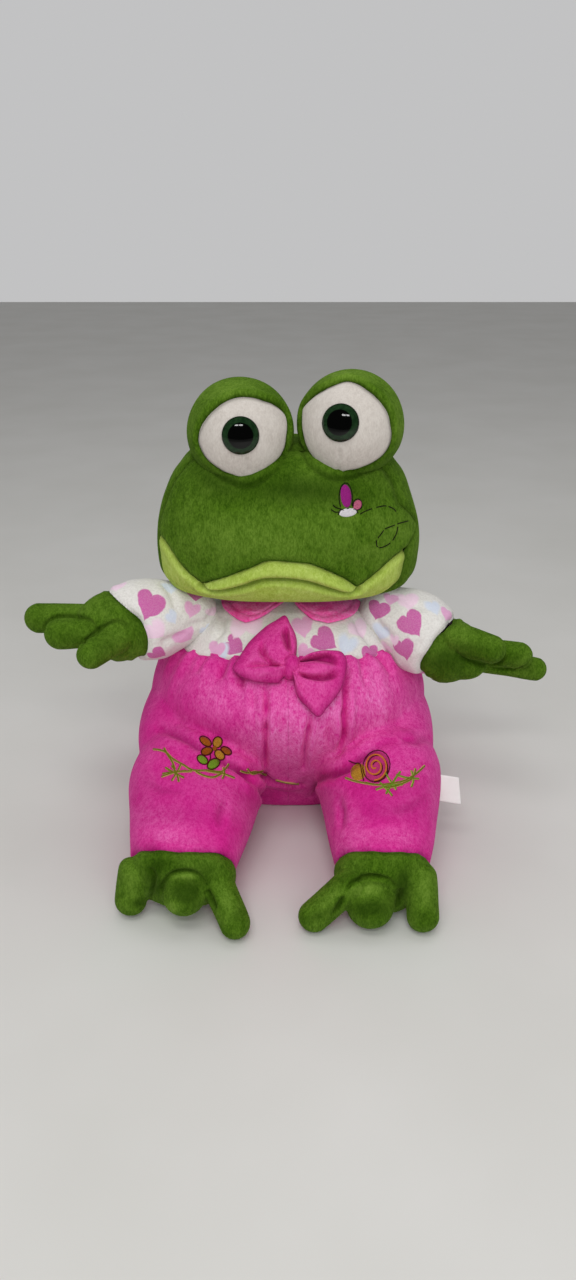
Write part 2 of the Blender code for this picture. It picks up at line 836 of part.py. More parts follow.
def make_eye(name, centre, look):
    """One eye on top of the head: a green cap, a pale front, its filling and a plastic eye."""
    half = COUNTS["eye_half"]
    ball_rows = round_end(EYE_BALL_RADIUS, 0.0, half, closing=False)
    ball_rows.append((0.0, EYE_BALL_RADIUS, EYE_BALL_RADIUS, EYE_BALL_RADIUS))
    ball_rows += round_end(EYE_BALL_RADIUS, 0.0, half, closing=True)
    ball_form = Form(ball_rows, aimed(centre, (0, -1, 0), (0, 0, 1)))
    seam = centre + Vector((0, -EYE_WHITE_REACH, 0))
    half_gap = Vector((0, SEAM_GAP / 2, 0))
    hood = panel(f"eye_hood_{name}", ball_form, "eye", [(seam + half_gap, (0, -1, 0))], GREEN)
    white = panel(f"eye_white_{name}", ball_form, "eye", [(seam - half_gap, (0, 1, 0))], EYE_CLOTH)
    stuffing = filling(f"eye_filling_{name}", ball_form, "eye")
    place = aimed(centre, look, (0, 0, 1))
    outside = EYE_BALL_RADIUS + CUT_OVERRUN
    stem_end = EYE_BALL_RADIUS - STEM_LENGTH - POCKET_GAP
    hole_radius = STEM_RADIUS + POCKET_GAP
    stem_hole = cutter(
        f"stem_hole_{name}", rod(place, hole_radius, stem_end, outside, AROUND["stem_hole"])
    )
    inner = EYE_BALL_RADIUS - PILE_CLOTH - TOUCH_GAP
    washer_front = math.sqrt(inner**2 - WASHER_RADIUS**2) - TOUCH_GAP
    washer_back = washer_front - WASHER_THICKNESS
    pocket = rod(
        place,
        WASHER_RADIUS + POCKET_GAP,
        washer_back - POCKET_GAP,
        outside,
        AROUND["washer"],
    )
    washer_pocket = cutter(f"washer_pocket_{name}", pocket)
    settled(cut(hood, TOOLS["head"]))
    settled(cut(white, TOOLS["head"], stem_hole))
    settled(cut(stuffing, TOOLS["head"], stem_hole, washer_pocket))
    profile = plastic_eye_profile()
    sides = AROUND["plastic_eye"]
    eye = turned_piece(f"safety_eye_{name}", place, profile, sides, EYE_PLASTIC)
    hole = STEM_RADIUS + WASHER_HOLE_GAP
    ring = [
        (hole, washer_back),
        (WASHER_RADIUS, washer_back),
        (WASHER_RADIUS, washer_front),
        (hole, washer_front),
    ]
    sides = AROUND["washer"]
    washer = turned_piece(f"eye_washer_{name}", place, ring, sides, WASHER_PLASTIC, closed=True)
    return [hood, white, stuffing, eye, washer]


def make_torso():
    """The fleece yoke above the waist, the trousers below it, the seat and the filling."""
    neck = TOOLS["neck"]
    arms = [TOOLS["arm_right"], TOOLS["arm_left"]]
    legs = [TOOLS["leg_right"], TOOLS["leg_left"]]
    front = ((0, TORSO_SIDE_SEAM_Y - SEAM_GAP / 2, 0), (0, 1, 0))
    back = ((0, TORSO_SIDE_SEAM_Y + SEAM_GAP / 2, 0), (0, -1, 0))
    above = ((0, 0, WAIST_Z + SEAM_GAP / 2), (0, 0, -1))
    below = ((0, 0, WAIST_Z - SEAM_GAP / 2), (0, 0, 1))
    seat_top = PILE_CLOTH + TOUCH_GAP
    over_seat = ((0, 0, seat_top), (0, 0, -1))
    pieces = []
    for name, side in (("front", front), ("back", back)):
        yoke = panel(f"yoke_{name}", TORSO, "torso", [side, above], FLEECE)
        pieces.append(settled(cut(yoke, neck, *arms)))
        trousers = panel(f"trousers_{name}", TORSO, "torso", [side, below, over_seat], PINK)
        pieces.append(settled(cut(trousers, *arms, *legs)))
    stuffing = filling("torso_filling", TORSO, "torso", [over_seat])
    pieces.append(settled(cut(stuffing, neck, *arms, *legs)))
    pieces.append(make_seat())
    return pieces


def make_seat():
    """The flat panel that closes the trousers underneath, and that the toy sits on."""
    shape = bmesh.new()
    sides = AROUND["torso"]
    polar = TORSO.angles_at(0, PILE_CLOTH - TORSO_BASE_Z)[1]
    rim = bmesh.ops.create_circle(shape, cap_ends=True, segments=sides, radius=1)["verts"]
    for vertex in rim:
        azimuth = math.atan2(vertex.co.y, vertex.co.x)
        vertex.co = TORSO.point(azimuth, polar, -SEAT_INSET)
        vertex.co.z = 0
    made = bmesh.ops.extrude_face_region(shape, geom=list(shape.faces))
    moved = [piece for piece in made["geom"] if isinstance(piece, bmesh.types.BMVert)]
    bmesh.ops.translate(shape, verts=moved, vec=(0, 0, PILE_CLOTH))
    bmesh.ops.recalc_face_normals(shape, faces=shape.faces)
    return link("seat_panel", shape, PINK)


def finger(start, tip, radius):
    """A finger or toe: a rounded rod from inside the palm to its tip."""
    start = Vector(start)
    way = Vector(tip) - start
    length = way.length - radius
    root = radius * FINGER_ROOT_SHARE
    middle = radius * FINGER_MIDDLE_SHARE
    rows = round_end(root, 0.0, COUNTS["finger_end"], closing=False)
    rows.append((0.0, root, root, root))
    rows.append((length / 2, middle, middle, middle))
    rows.append((length, radius, radius, radius))
    rows.extend(round_end(radius, length, COUNTS["finger_end"], closing=True))
    form = Form(rows, aimed(start, way, FINGER_UP))
    return form.mesh(0.0, AROUND["finger"], STEPS["finger"])


def oval(place, size, kind):
    """A stretched ball in a frame, its size given as three half widths."""
    shape = bmesh.new()
    around = AROUND[kind]
    bmesh.ops.create_uvsphere(shape, u_segments=around, v_segments=STEPS[kind], radius=1)
    bmesh.ops.scale(shape, verts=shape.verts, vec=size)
    bmesh.ops.transform(shape, matrix=place, verts=shape.verts)
    return shape


def make_arm(name):
    """A fleece sleeve over its filling, and the green hand sewn to the sleeve's end."""
    form, root, direction = ARMS[name]
    wrist = root + direction * ARM_LENGTH
    half_gap = direction * (SEAM_GAP / 2)
    wrist_plane = (wrist - half_gap, direction)
    armhole = (root - direction * (ARM_ROOT_RADIUS * ARMHOLE_SHARE), -direction)
    sleeve = panel(f"sleeve_{name}", form, "arm", [wrist_plane, armhole], FLEECE)
    stuffing = filling(f"arm_filling_{name}", form, "arm", [wrist_plane])
    palm_centre = wrist + direction * PALM_REACH
    place = aimed(palm_centre, direction, (0, 0, 1))
    shapes = [oval(place, (PALM_HALF_WIDTH, PALM_HALF_HEIGHT, PALM_LENGTH), "palm")]
    reach = RIGHT_FINGER_REACH if name == "right" else LEFT_FINGER_REACH
    for way in reach:
        tip = wrist + Vector(way)
        start = palm_centre + (tip - palm_centre) * FINGER_BASE_SHARE
        shapes.append(finger(start, tip, FINGER_RADIUS))
    hand = joined(f"hand_{name}", shapes, GREEN)
    return [sleeve, stuffing, trimmed(hand, wrist + half_gap, -direction)]


def trimmed(obj, point, normal):
    """Cuts a closed body flat with a plane, and closes it."""
    shape = bmesh.new()
    shape.from_mesh(obj.data)
    keep_below(shape, point, normal, fill=True)
    shape.to_mesh(obj.data)
    shape.free()
    return obj


def make_leg(name):
    """A trouser leg over its filling, pressed flat where it lies, and the green foot."""
    form, root, direction = LEGS[name]
    hem = root + direction * LEG_LENGTH
    half_gap = direction * (SEAM_GAP / 2)
    hem_plane = (hem - half_gap, direction)
    opening = (root - direction * (LEG_RADIUS * LEG_OPENING_SHARE), -direction)
    shape = form.mesh(0.0, AROUND["leg"], STEPS["leg"])
    keep_below(shape, (0, 0, 0), (0, 0, -1), fill=True)
    for plane in (hem_plane, opening):
        keep_below(shape, *plane)
    trouser = thickened(link(f"trouser_leg_{name}", shape, PINK), PILE_CLOTH)
    over_cloth = ((0, 0, PILE_CLOTH + TOUCH_GAP), (0, 0, -1))
    stuffing = filling(f"leg_filling_{name}", form, "leg", [hem_plane, over_cloth])
    place = aimed(hem, direction, (0, 0, 1))
    shapes = [oval(place, (FOOT_HALF_WIDTH, FOOT_HALF_HEIGHT, FOOT_LENGTH), "palm")]
    reach = RIGHT_TOE_REACH if name == "right" else LEFT_TOE_REACH
    for number, way in enumerate(reach):
        radius = MIDDLE_TOE_RADIUS if number == 1 else SIDE_TOE_RADIUS
        tip_centre = Vector(way)
        start = hem + Vector(
            (
                tip_centre.x * TOE_BASE_ACROSS_SHARE,
                tip_centre.y * TOE_BASE_FORWARD_SHARE,
                FOOT_HALF_HEIGHT * TOE_BASE_HEIGHT_SHARE,
            )
        )
        tip = hem + tip_centre
        tip += (tip - start).normalized() * radius
        shapes.append(finger(start, tip, radius))
    foot = joined(f"foot_{name}", shapes, GREEN)
    trimmed(foot, hem + half_gap, -direction)
    return [trouser, stuffing, trimmed(foot, Vector((0, 0, 0)), (0, 0, -1))]


def make_collar(name, side):
    """One collar lobe: a scalloped flap that lies on the yoke."""
    shape = bmesh.new()
    across = COUNTS["collar_across"]
    bmesh.ops.create_grid(shape, x_segments=across, y_segments=COUNTS["collar_deep"], size=1)
    gap = math.radians(COLLAR_CENTRE_GAP_DEG)
    span = math.radians(COLLAR_SPAN_DEG)
    for vertex in shape.verts:
        along = (vertex.co.x + 1) / 2
        down = (vertex.co.y + 1) / 2
        azimuth = -math.pi / 2 + side * (gap / 2 + span * along)
        bulge = math.sin(math.pi * along) ** COLLAR_CURVE_POWER
        low = COLLAR_END_SHARE + (COLLAR_LOW_SHARE - COLLAR_END_SHARE) * bulge
        polar = COLLAR_TOP_SHARE + (low - COLLAR_TOP_SHARE) * down
        vertex.co = TORSO.point(azimuth, polar, TOUCH_GAP)
    bmesh.ops.recalc_face_normals(shape, faces=shape.faces)
    if sum(face.normal.z for face in shape.faces) < 0:
        bmesh.ops.reverse_faces(shape, faces=shape.faces)
    flap = thickened(link(f"collar_{name}", shape, COLLAR_PINK), COLLAR_THICKNESS, offset=1.0)
    return settled(cut(flap, TOOLS["neck"], TOOLS["arm_" + name]))


def make_bow():
    """A knot and two wings, set on the front over the waist seam."""
    azimuth, polar = TORSO.angles_at(BOW_X, BOW_Z - TORSO_BASE_Z)
    centre = TORSO.point(azimuth, polar, BOW_PROUD)
    out = TORSO.normal(azimuth, polar)
    right = Vector((1, 0, 0))
    up = out.cross(right)
    over_collar = grown("bow_tool", TORSO, "torso", TOUCH_GAP * 2 + COLLAR_THICKNESS)
    knot_place = aimed(centre, up, out)
    knot_size = (KNOT_HALF_WIDTH, KNOT_HALF_DEPTH, KNOT_HALF_HEIGHT)
    knot = link("bow_knot", oval(knot_place, knot_size, "knot"), PINK)
    gap_size = [size + TOUCH_GAP for size in knot_size]
    knot_tool = cutter("knot_tool", oval(knot_place, gap_size, "knot"))
    pieces = [settled(cut(knot, TOOLS["torso"]))]
    wings = (
        ("right", RIGHT_WING_TURN_DEG, RIGHT_WING_LENGTH, RIGHT_WING_HALF_EDGE),
        ("left", LEFT_WING_TURN_DEG, LEFT_WING_LENGTH, LEFT_WING_HALF_EDGE),
    )
    for name, turn, length, half_edge in wings:
        angle = math.radians(turn)
        along = right * math.cos(angle) + up * math.sin(angle)
        rows = sized(WING_SHARES, length, half_edge, WING_HALF_DEPTH, WING_HALF_DEPTH)
        form = Form(rows, aimed(centre, along, out), WING_SQUARENESS)
        wing_shape = form.mesh(0.0, AROUND["wing"], STEPS["wing"])
        wing = link(f"bow_wing_{name}", wing_shape, PINK)
        pieces.append(settled(cut(wing, over_collar, knot_tool)))
    return pieces


def motif(name, place, width, blob_shares, backing, colour):
    """Stitches raised above the cloth, as overlapping pads cut to the cloth's curve."""
    shapes = []
    for x_share, y_share, wide_share, high_share, turn in blob_shares:
        shift = Matrix.Translation((x_share * width, y_share * width, 0))
        spin = Matrix.Rotation(math.radians(turn), 4, "Z")
        size = (wide_share * width, high_share * width, STITCH_HEIGHT + TOUCH_GAP * 2)
        shapes.append(oval(place @ shift @ spin, size, "stitch"))
    piece = joined(name, shapes, colour)
    return settled(cut(piece, *backing))


def surface_place(form, azimuth, polar, up):
    """A frame on a form's surface, its Z straight out."""
    return aimed(form.point(azimuth, polar), form.normal(azimuth, polar), up)


def make_motifs():
    up = (0, 0, 1)
    cheek = HEAD.angles_at(BUTTERFLY_X, BUTTERFLY_RISE)
    flower_z = LEG_Z + LEG_RADIUS + FLOWER_RISE
    belly = TORSO.angles_at(FLOWER_X, flower_z - TORSO_BASE_Z)
    left_leg = LEGS["left"][0]
    thigh = (math.radians(SNAIL_AZIMUTH_DEG), SNAIL_POLAR)
    leg_tool = grown("left_thigh_tool", left_leg, "leg", TOUCH_GAP)
    butterfly = motif(
        "butterfly_embroidery",
        surface_place(HEAD, *cheek, up),
        BUTTERFLY_WIDTH,
        BUTTERFLY_BLOB_SHARES,
        [TOOLS["head"]],
        MAGENTA_THREAD,
    )
    flower = motif(
        "flower_embroidery",
        surface_place(TORSO, *belly, up),
        FLOWER_WIDTH,
        FLOWER_BLOB_SHARES,
        [TOOLS["torso"], TOOLS["leg_right"]],
        BROWN_THREAD,
    )
    snail = motif(
        "snail_embroidery",
        surface_place(left_leg, *thigh, up),
        SNAIL_WIDTH,
        SNAIL_BLOB_SHARES,
        [leg_tool, TOOLS["torso"]],
        ORANGE_THREAD,
    )
    return butterfly, flower, snail


def make_label():
    """The bare care label, standing out of the left leg's outer seam."""
    shape = bmesh.new()
    bmesh.ops.create_cube(shape, size=1)
    size = (LABEL_WIDTH, LABEL_THICKNESS, LABEL_LENGTH)
    bmesh.ops.scale(shape, verts=shape.verts, vec=size)
    turn = Matrix.Rotation(math.radians(LABEL_TURN_DEG), 3, "Y")
    bmesh.ops.rotate(shape, verts=shape.verts, matrix=turn)
    height = LABEL_Z - LEG_Z
    side = math.sqrt(LEG_RADIUS**2 - height**2)
    centre = (LEG_X + side + LABEL_WIDTH / 2, LEG_Y, LABEL_Z - LABEL_LENGTH / 2)
    bmesh.ops.translate(shape, verts=shape.verts, vec=centre)
    label = link("care_label", shape, LABEL_CLOTH)
    tool = grown("label_tool", LEGS["left"][0], "leg", TOUCH_GAP)
    return settled(cut(label, tool))


def make_toy():
    make_torso()
    butterfly, flower, snail = make_motifs()
    neck = axis_empty("neck_turn_axis", NECK_PIVOT)
    carry(neck, [link("neck_filling", neck_ball(0.0), FILLING)])
    nod = axis_empty("head_nod_axis", NECK_PIVOT, neck)
    head_pieces = make_head()
    right_eye = Vector((RIGHT_EYE_X, EYE_Y, HEAD_BASE_Z + RIGHT_EYE_RISE))
    left_eye = Vector((LEFT_EYE_X, EYE_Y, HEAD_BASE_Z + LEFT_EYE_RISE))
    head_pieces += make_eye("right", right_eye, RIGHT_EYE_LOOK)
    head_pieces += make_eye("left", left_eye, LEFT_EYE_LOOK)
    carry(nod, head_pieces + [butterfly])
    make_collar("right", -1)
    make_collar("left", 1)
    make_bow()
    for name in ("right", "left"):
        shoulder = axis_empty(f"shoulder_{name}_axis", ARMS[name][1])
        carry(shoulder, make_arm(name))
        hip = axis_empty(f"hip_{name}_axis", LEGS[name][1])
        carry(hip, make_leg(name))
        if name == "left":
            carry(hip, [snail, make_label()])


make_toy()
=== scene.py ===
# %% [markdown]
# # A sitting plush frog, sewn and stuffed in code
# The toy has a green pile head with a pale lip, two stuffed eyes with plastic pupils, a fleece
# top with printed hearts, pink pile trousers, a collar and a bow. Each cell makes one piece.
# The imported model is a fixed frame: the pieces made here lie on it and move with its bodies.

# %% The frame, and the box that it fills
import math

import bmesh
import bpy
import numpy as np
from mathutils import Matrix, Vector, noise
from mathutils.bvhtree import BVHTree


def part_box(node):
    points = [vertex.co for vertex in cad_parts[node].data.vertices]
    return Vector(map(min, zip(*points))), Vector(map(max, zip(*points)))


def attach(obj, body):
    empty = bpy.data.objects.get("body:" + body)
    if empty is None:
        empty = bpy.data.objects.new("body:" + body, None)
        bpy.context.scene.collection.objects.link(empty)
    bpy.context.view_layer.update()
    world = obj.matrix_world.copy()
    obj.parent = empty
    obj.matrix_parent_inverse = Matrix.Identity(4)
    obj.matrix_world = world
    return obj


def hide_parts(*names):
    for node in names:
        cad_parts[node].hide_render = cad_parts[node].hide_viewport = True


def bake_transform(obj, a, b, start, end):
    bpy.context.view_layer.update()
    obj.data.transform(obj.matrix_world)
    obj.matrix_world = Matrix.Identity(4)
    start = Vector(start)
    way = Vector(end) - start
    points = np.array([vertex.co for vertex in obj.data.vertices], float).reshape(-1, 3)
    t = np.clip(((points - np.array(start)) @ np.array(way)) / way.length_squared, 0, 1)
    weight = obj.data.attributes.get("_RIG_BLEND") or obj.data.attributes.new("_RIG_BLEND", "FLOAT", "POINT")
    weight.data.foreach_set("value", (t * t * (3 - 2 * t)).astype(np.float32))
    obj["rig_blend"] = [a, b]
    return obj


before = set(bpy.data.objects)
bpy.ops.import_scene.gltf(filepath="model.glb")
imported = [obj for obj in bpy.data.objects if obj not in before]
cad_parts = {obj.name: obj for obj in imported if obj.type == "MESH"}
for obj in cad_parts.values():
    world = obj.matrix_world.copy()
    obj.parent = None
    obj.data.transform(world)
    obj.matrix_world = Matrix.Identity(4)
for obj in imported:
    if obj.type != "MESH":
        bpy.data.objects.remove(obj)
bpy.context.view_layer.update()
MM = 0.001
WELD = 0.01 * MM

# %% [markdown]
# ## The camera
# The camera comes first, because small things such as creases and stitches are placed by
# where the camera sees them. It stands a little above the toy and looks down 25 degrees.
# A line of sight through a pixel of the upright picture then finds its place on the cloth.

# %% The camera and its lines of sight
IMAGE_WIDTH, IMAGE_HEIGHT = 576, 1280
CAMERA_PLACE = Vector((0.0, -0.6705, 0.441))
CAMERA_DOWN = math.radians(25)
SENSOR_HEIGHT = 36.0
LENS = 26.686
FOCAL_PIXELS = LENS / SENSOR_HEIGHT * IMAGE_HEIGHT



def linked(name, data):
    """A new object in the scene."""
    obj = bpy.data.objects.new(name, data)
    bpy.context.scene.collection.objects.link(obj)
    return obj


camera = linked("camera", bpy.data.cameras.new("camera"))
bpy.context.scene.camera = camera
camera.location = CAMERA_PLACE
camera.rotation_euler = (math.radians(90) - CAMERA_DOWN, 0, 0)
camera.data.sensor_fit = "VERTICAL"
camera.data.sensor_height = SENSOR_HEIGHT
camera.data.lens = LENS
camera.data.clip_start = 0.01

FORWARD = Vector((0, math.cos(CAMERA_DOWN), -math.sin(CAMERA_DOWN)))
UPWARD = Vector((0, math.sin(CAMERA_DOWN), math.cos(CAMERA_DOWN)))
TOY_MIDDLE = Vector((0, -0.06, 0.2))


def sight(pixel):
    """The direction in which the camera sees a pixel."""
    across = (pixel[0] - IMAGE_WIDTH / 2) / FOCAL_PIXELS
    down = (pixel[1] - IMAGE_HEIGHT / 2) / FOCAL_PIXELS
    return (FORWARD + Vector((across, 0, 0)) - UPWARD * down).normalized()


def landed(tree, pixel):
    """Where the line of sight through a pixel meets a surface, and the surface's normal. A line
    that passes the surface gives the place on it that is nearest to where they pass."""
    way = sight(pixel)
    point, normal, _, _ = tree.ray_cast(CAMERA_PLACE, way)
    if point is None:
        beside = CAMERA_PLACE + way * (TOY_MIDDLE - CAMERA_PLACE).dot(way)
        point, normal, _, _ = tree.find_nearest(beside)
    return point, normal


def rotated(x, y, angle):
    """A place in the picture, turned by an angle."""
    return x * math.cos(angle) - y * math.sin(angle), x * math.sin(angle) + y * math.cos(angle)


def lengths(vectors):
    return np.linalg.norm(vectors, axis=1)


def landed_line(tree, pixels):
    return np.array([landed(tree, pixel)[0] for pixel in pixels])


def seen_near(pixel, origin, nearer):
    """The point seen at a pixel, nearer to the camera than an origin by so many mm."""
    way = sight(pixel)
    depth = (Vector(origin) - CAMERA_PLACE).dot(FORWARD) - nearer * MM
    return CAMERA_PLACE + way * (depth / way.dot(FORWARD))


def seen_above(pixel, height):
    """The point seen at a pixel, at so many mm above the floor."""
    way = sight(pixel)
    return CAMERA_PLACE + way * ((height * MM - CAMERA_PLACE.z) / way.z)


def pixels_of(points):
    """Where the camera sees points."""
    local = np.asarray(points) - np.array(CAMERA_PLACE)
    depth = local @ np.array(FORWARD)
    across = IMAGE_WIDTH / 2 + FOCAL_PIXELS * local[:, 0] / depth
    down = IMAGE_HEIGHT / 2 - FOCAL_PIXELS * (local @ np.array(UPWARD)) / depth
    return np.stack([across, down], axis=1)


def smooth(before, start, end, after, share):
    """A smooth curve between the two middle values, which the outer two bend."""
    return 0.5 * (
        2 * start
        + (end - before) * share
        + (2 * before - 5 * start + 4 * end - after) * share**2
        + (3 * start - before - 3 * end + after) * share**3
    )


def curved(pixels, pieces=5):
    """More points on the smooth curve through pixels."""
    line = [np.array(pixel, float) for pixel in pixels]
    points = []
    for number in range(len(line) - 1):
        four = [line[max(number - 1, 0)], line[number], line[number + 1]]
        four.append(line[min(number + 2, len(line) - 1)])
        points += [tuple(smooth(*four, step / pieces)) for step in range(pieces)]
    return points + [tuple(line[-1])]


print("focal length in pixels:", round(FOCAL_PIXELS, 1))

# %% [markdown]
# ## Stuffed shapes
# A stuffed part is a stack of oval sections that swell and taper. A few rows of numbers give
# the sections, and a smooth curve runs through them. Each fabric panel is a grid laid on that
# surface between its seams, which is how a sewn panel lies on its stuffing.


# %% Oval sections along an axis
FORM_TABLE = 400


def signed_power(value, power):
    return np.sign(value) * np.abs(value) ** power


class Form:
    """Rows of (place on the axis, half width, reach in front, reach behind), in a frame. An
    azimuth turns round the axis, and a polar share runs from its first row, 0, to its last, 1."""

    def __init__(self, rows, place, squareness=2.0):
        rows = np.array(rows, float)
        mirror = np.array((1, -1, -1, -1))
        self.rows = np.vstack([rows[1] * mirror, rows, rows[-2] * mirror])
        self.place = np.array(place)
        self.back = np.linalg.inv(self.place)
        self.power = 2.0 / squareness

    def row(self, polar):
        last = len(self.rows) - 3
        place = np.clip(polar, 0, 1) * last
        first = np.minimum(place.astype(int), last - 1)
        four = [self.rows[first + step] for step in range(4)]
        return smooth(*four, (place - first)[:, None])

    def points(self, azimuth, polar):
        along, width, front, back = self.row(polar).T
        deep = np.sin(azimuth)
        reach = np.where(deep > 0, back, front)
        x = width * signed_power(np.cos(azimuth), self.power)
        y = reach * signed_power(deep, self.power)
        return np.stack([x, y, along], axis=1) @ self.place[:3, :3].T + self.place[:3, 3]

    def front_angles(self, points):
        """The azimuth and polar share of points on the front of the form."""
        local = points @ self.back[:3, :3].T + self.back[:3, 3]
        table = np.linspace(0, 1, FORM_TABLE)
        rows = self.row(table)
        polar = np.interp(local[:, 2], rows[:, 0], table)
        width = np.interp(polar, table, rows[:, 1])
        share = np.minimum(np.abs(local[:, 0]) / width, 1) ** (1 / self.power)
        return -np.arccos(np.copysign(share, local[:, 0])), polar


def sized(shares, length, half_width, front, back):
    return [(a * length, w * half_width, f * front, b * back) for a, w, f, b in shares]


def aimed(origin, along, up=(0, 0, 1)):
    """A frame at this origin, its Z along one direction and its Y nearest to the other."""
    z_axis = Vector(along).normalized()
    x_axis = Vector(up).cross(z_axis).normalized()
    turn = Matrix((x_axis, z_axis.cross(x_axis), z_axis)).transposed().to_4x4()
    return Matrix.Translation(Vector(origin)) @ turn


def round_end(radius, centre, count, closing):
    """Rows of a half ball, opening from a point or closing to one."""
    rows = []
    for step in range(count + closing):
        angle = math.pi / 2 * step / count
        along = centre + radius * (math.sin(angle) if closing else -math.cos(angle))
        width = radius * (math.cos(angle) if closing else math.sin(angle))
        rows.append((along, width, width, width))
    return rows[closing:]


# %% Grids laid on a surface
def laid_grid(across, along, lay, closed=False):
    """A grid moved to where lay(u, v) puts it. lay may also give print coordinates."""
    shape = bmesh.new()
    bmesh.ops.create_grid(shape, x_segments=across, y_segments=along, size=0.5)
    shares = np.array([vertex.co[:2] for vertex in shape.verts]) + 0.5
    found = lay(shares[:, 0], shares[:, 1])
    points, printed = found if isinstance(found, tuple) else (found, shares)
    layer = shape.loops.layers.uv.new("print")
    # A layer for painted shading, filled by sculpt and by painted patches of shade and light.
    shape.verts.layers.float.new("hollow")
    for vertex, point in zip(shape.verts, points):
        vertex.co = point
        for loop in vertex.link_loops:
            loop[layer].uv = printed[vertex.index]
    if closed:
        bmesh.ops.remove_doubles(shape, verts=shape.verts, dist=2 * WELD)
    bmesh.ops.recalc_face_normals(shape, faces=shape.faces)
    return shape


def facing_out(shape, centre):
    """Turns an open sheet's faces away from a centre."""
    total = sum(
        (face.calc_center_median() - centre).dot(face.normal) * face.calc_area()
        for face in shape.faces
    )
    if total < 0:
        bmesh.ops.reverse_faces(shape, faces=shape.faces)
    return shape


def form_mesh(form, around=48, steps=32):
    """A form's whole surface as one closed mesh."""

    def lay(u, v):
        return form.points(u * math.tau, v)

    return laid_grid(around, steps, lay, closed=True)


def tree_of(shape):
    return BVHTree.FromBMesh(shape)


# %% [markdown]
# ## Creases, seams and lumps
# Cloth round stuffing isn't even. A seam pulls it in to a groove with small puckers on both
# sides, a crease has a swell beside it, and the filling makes soft lumps. Each of these is a
# distance to a line, turned into a small move along the surface's normal.


# %% Marks that move a surface in or out
# A crease this deep gets the full painted shade.
FULL_SHADE_DEPTH = 3.4 * MM
TINY = 1e-12


def nearest(points, line):
    """Each point's distance to a line of points, and how far along the line that is."""
    line = np.asarray(line, float)
    best = np.full(len(points), np.inf)
    place = np.zeros(len(points))
    pieces = len(line) - 1
    for number in range(pieces):
        way = line[number + 1] - line[number]
        share = np.clip((points - line[number]) @ way / (way @ way + TINY), 0, 1)
        away = lengths(points - line[number] - share[:, None] * way)
        closer = away < best
        best[closer] = away[closer]
        place[closer] = (number + share[closer]) / pieces
    return best, place


def rough(points, scale, seed=0.0):
    """Smooth noise from -1 to 1 at each point."""
    shift = Vector((seed, seed * 1.7, -seed))
    return np.array([noise.noise(Vector(point) * scale + shift) for point in points])


def hill(away, width):
    """1 on a line, and smoothly less with the distance from it."""
    return np.exp(-((away / width) ** 2))


def crease(width, depth, swell=0.3, fade=False):
    """A mark along a line: a valley with a swell on both sides, fading at the ends if told."""

    def mark(points, line):
        away, place = nearest(points, line)
        valley = hill(away, width)
        beside = hill(away - 2.3 * width, 1.3 * width)
        ends = np.sin(np.pi * place) ** 0.6 if fade else 1.0
        return depth * ends * (swell * beside - valley)

    return mark


def seam(width, depth, pucker=0.35):
    """A sewn seam: a narrow groove with puckered cloth along it."""

    def mark(points, line):
        away, _ = nearest(points, line)
        puckered = rough(points, 170) * hill(away, 3.5 * width)
        swell = 0.25 * hill(away - 3 * width, 1.8 * width)
        return depth * (swell - hill(away, width) + pucker * puckered)

    return mark


def fold_marks(tree, rows, swell):
    """Creases where the camera sees them, from rows of (width, depth, pixels), in mm."""
    return [
        (crease(width * MM, depth * MM, swell=swell, fade=True), landed_line(tree, line))
        for width, depth, line in rows
    ]


def places_of(shape):
    return np.array([vertex.co for vertex in shape.verts])


def sculpt(shape, marks=(), lumps=0.5 * MM, lump_scale=34, seed=0.0, extra=None):
    """Moves a mesh along its normals by its marks and by soft lumps. How far each crease sinks is kept as an
    attribute, from which the pile's shader paints shade into the crease."""
    layers = shape.verts.layers.float
    hollow = layers.get("hollow") or layers.new("hollow")
    shape.normal_update()
    points = places_of(shape)
    normals = np.array([vertex.normal for vertex in shape.verts])
    move = np.zeros(len(points))
    for mark, line in marks:
        move += mark(points, line)
    if extra is not None:
        move += extra(points)
    # Painted shade: the deeper a crease sinks, the darker its pile is painted.
    crease_shade = np.clip(-move / FULL_SHADE_DEPTH, 0, 1)
    move += lumps * rough(points, lump_scale, seed)
    for vertex, point, depth in zip(shape.verts, points + normals * move[:, None], crease_shade):
        vertex.co = point
        vertex[hollow] = depth
    return shape


# A patch reaches this share of its longer half size, and this many mm, from its middle.
PATCH_SHARE, PATCH_SPARE = 1.6, 20


def paint_shading_patches(shape, patches):
    """Paints patches of shade and light, and of pile that leans one way: (pixel, half sizes, turn,
    strength), where the strength is above 0 for painted shade and below 0 for painted light."""
    hollow = shape.verts.layers.float["hollow"]
    tree = tree_of(shape)
    points = places_of(shape)
    seen = pixels_of(points)
    values = np.array([vertex[hollow] for vertex in shape.verts])
    for pixel, (wide, high), turn, strength in patches:
        along, across = rotated(*(seen - np.array(pixel)).T, -math.radians(turn))
        middle = np.array(landed(tree, pixel)[0])
        reach = (max(wide, high) * PATCH_SHARE + PATCH_SPARE) * MM
        close = lengths(points - middle) < reach
        values += close * strength * hill(along, wide) * hill(across, high)
    for vertex, value in zip(shape.verts, np.clip(values, -1, 1)):
        vertex[hollow] = value
    return shape


def cut_plane(shape, point, normal):
    """Drops what lies beyond a plane."""
    everything = list(shape.verts) + list(shape.edges) + list(shape.faces)
    bmesh.ops.bisect_plane(
        shape, geom=everything, plane_co=point, plane_no=normal, clear_outer=True
    )
    return shape


def bent_cut(shape, point, way, bend, keep_far=False):
    """Cuts along a plane that bends. bend(points) is how far it lies along its normal, and
    doesn't change along that normal, so the mesh is moved by it, cut flat and moved back."""
    way = Vector(way)
    for vertex, shift in zip(shape.verts, bend(places_of(shape))):
        vertex.co -= way * shift
    cut_plane(shape, point, -way if keep_far else way)
    for vertex, shift in zip(shape.verts, bend(places_of(shape))):
        vertex.co += way * shift
    return shape


def on_floor(shape):
    """Keeps a shape just over the floor."""
    for vertex in shape.verts:
        vertex.co.z = max(vertex.co.z, 0.2 * MM)
    return shape


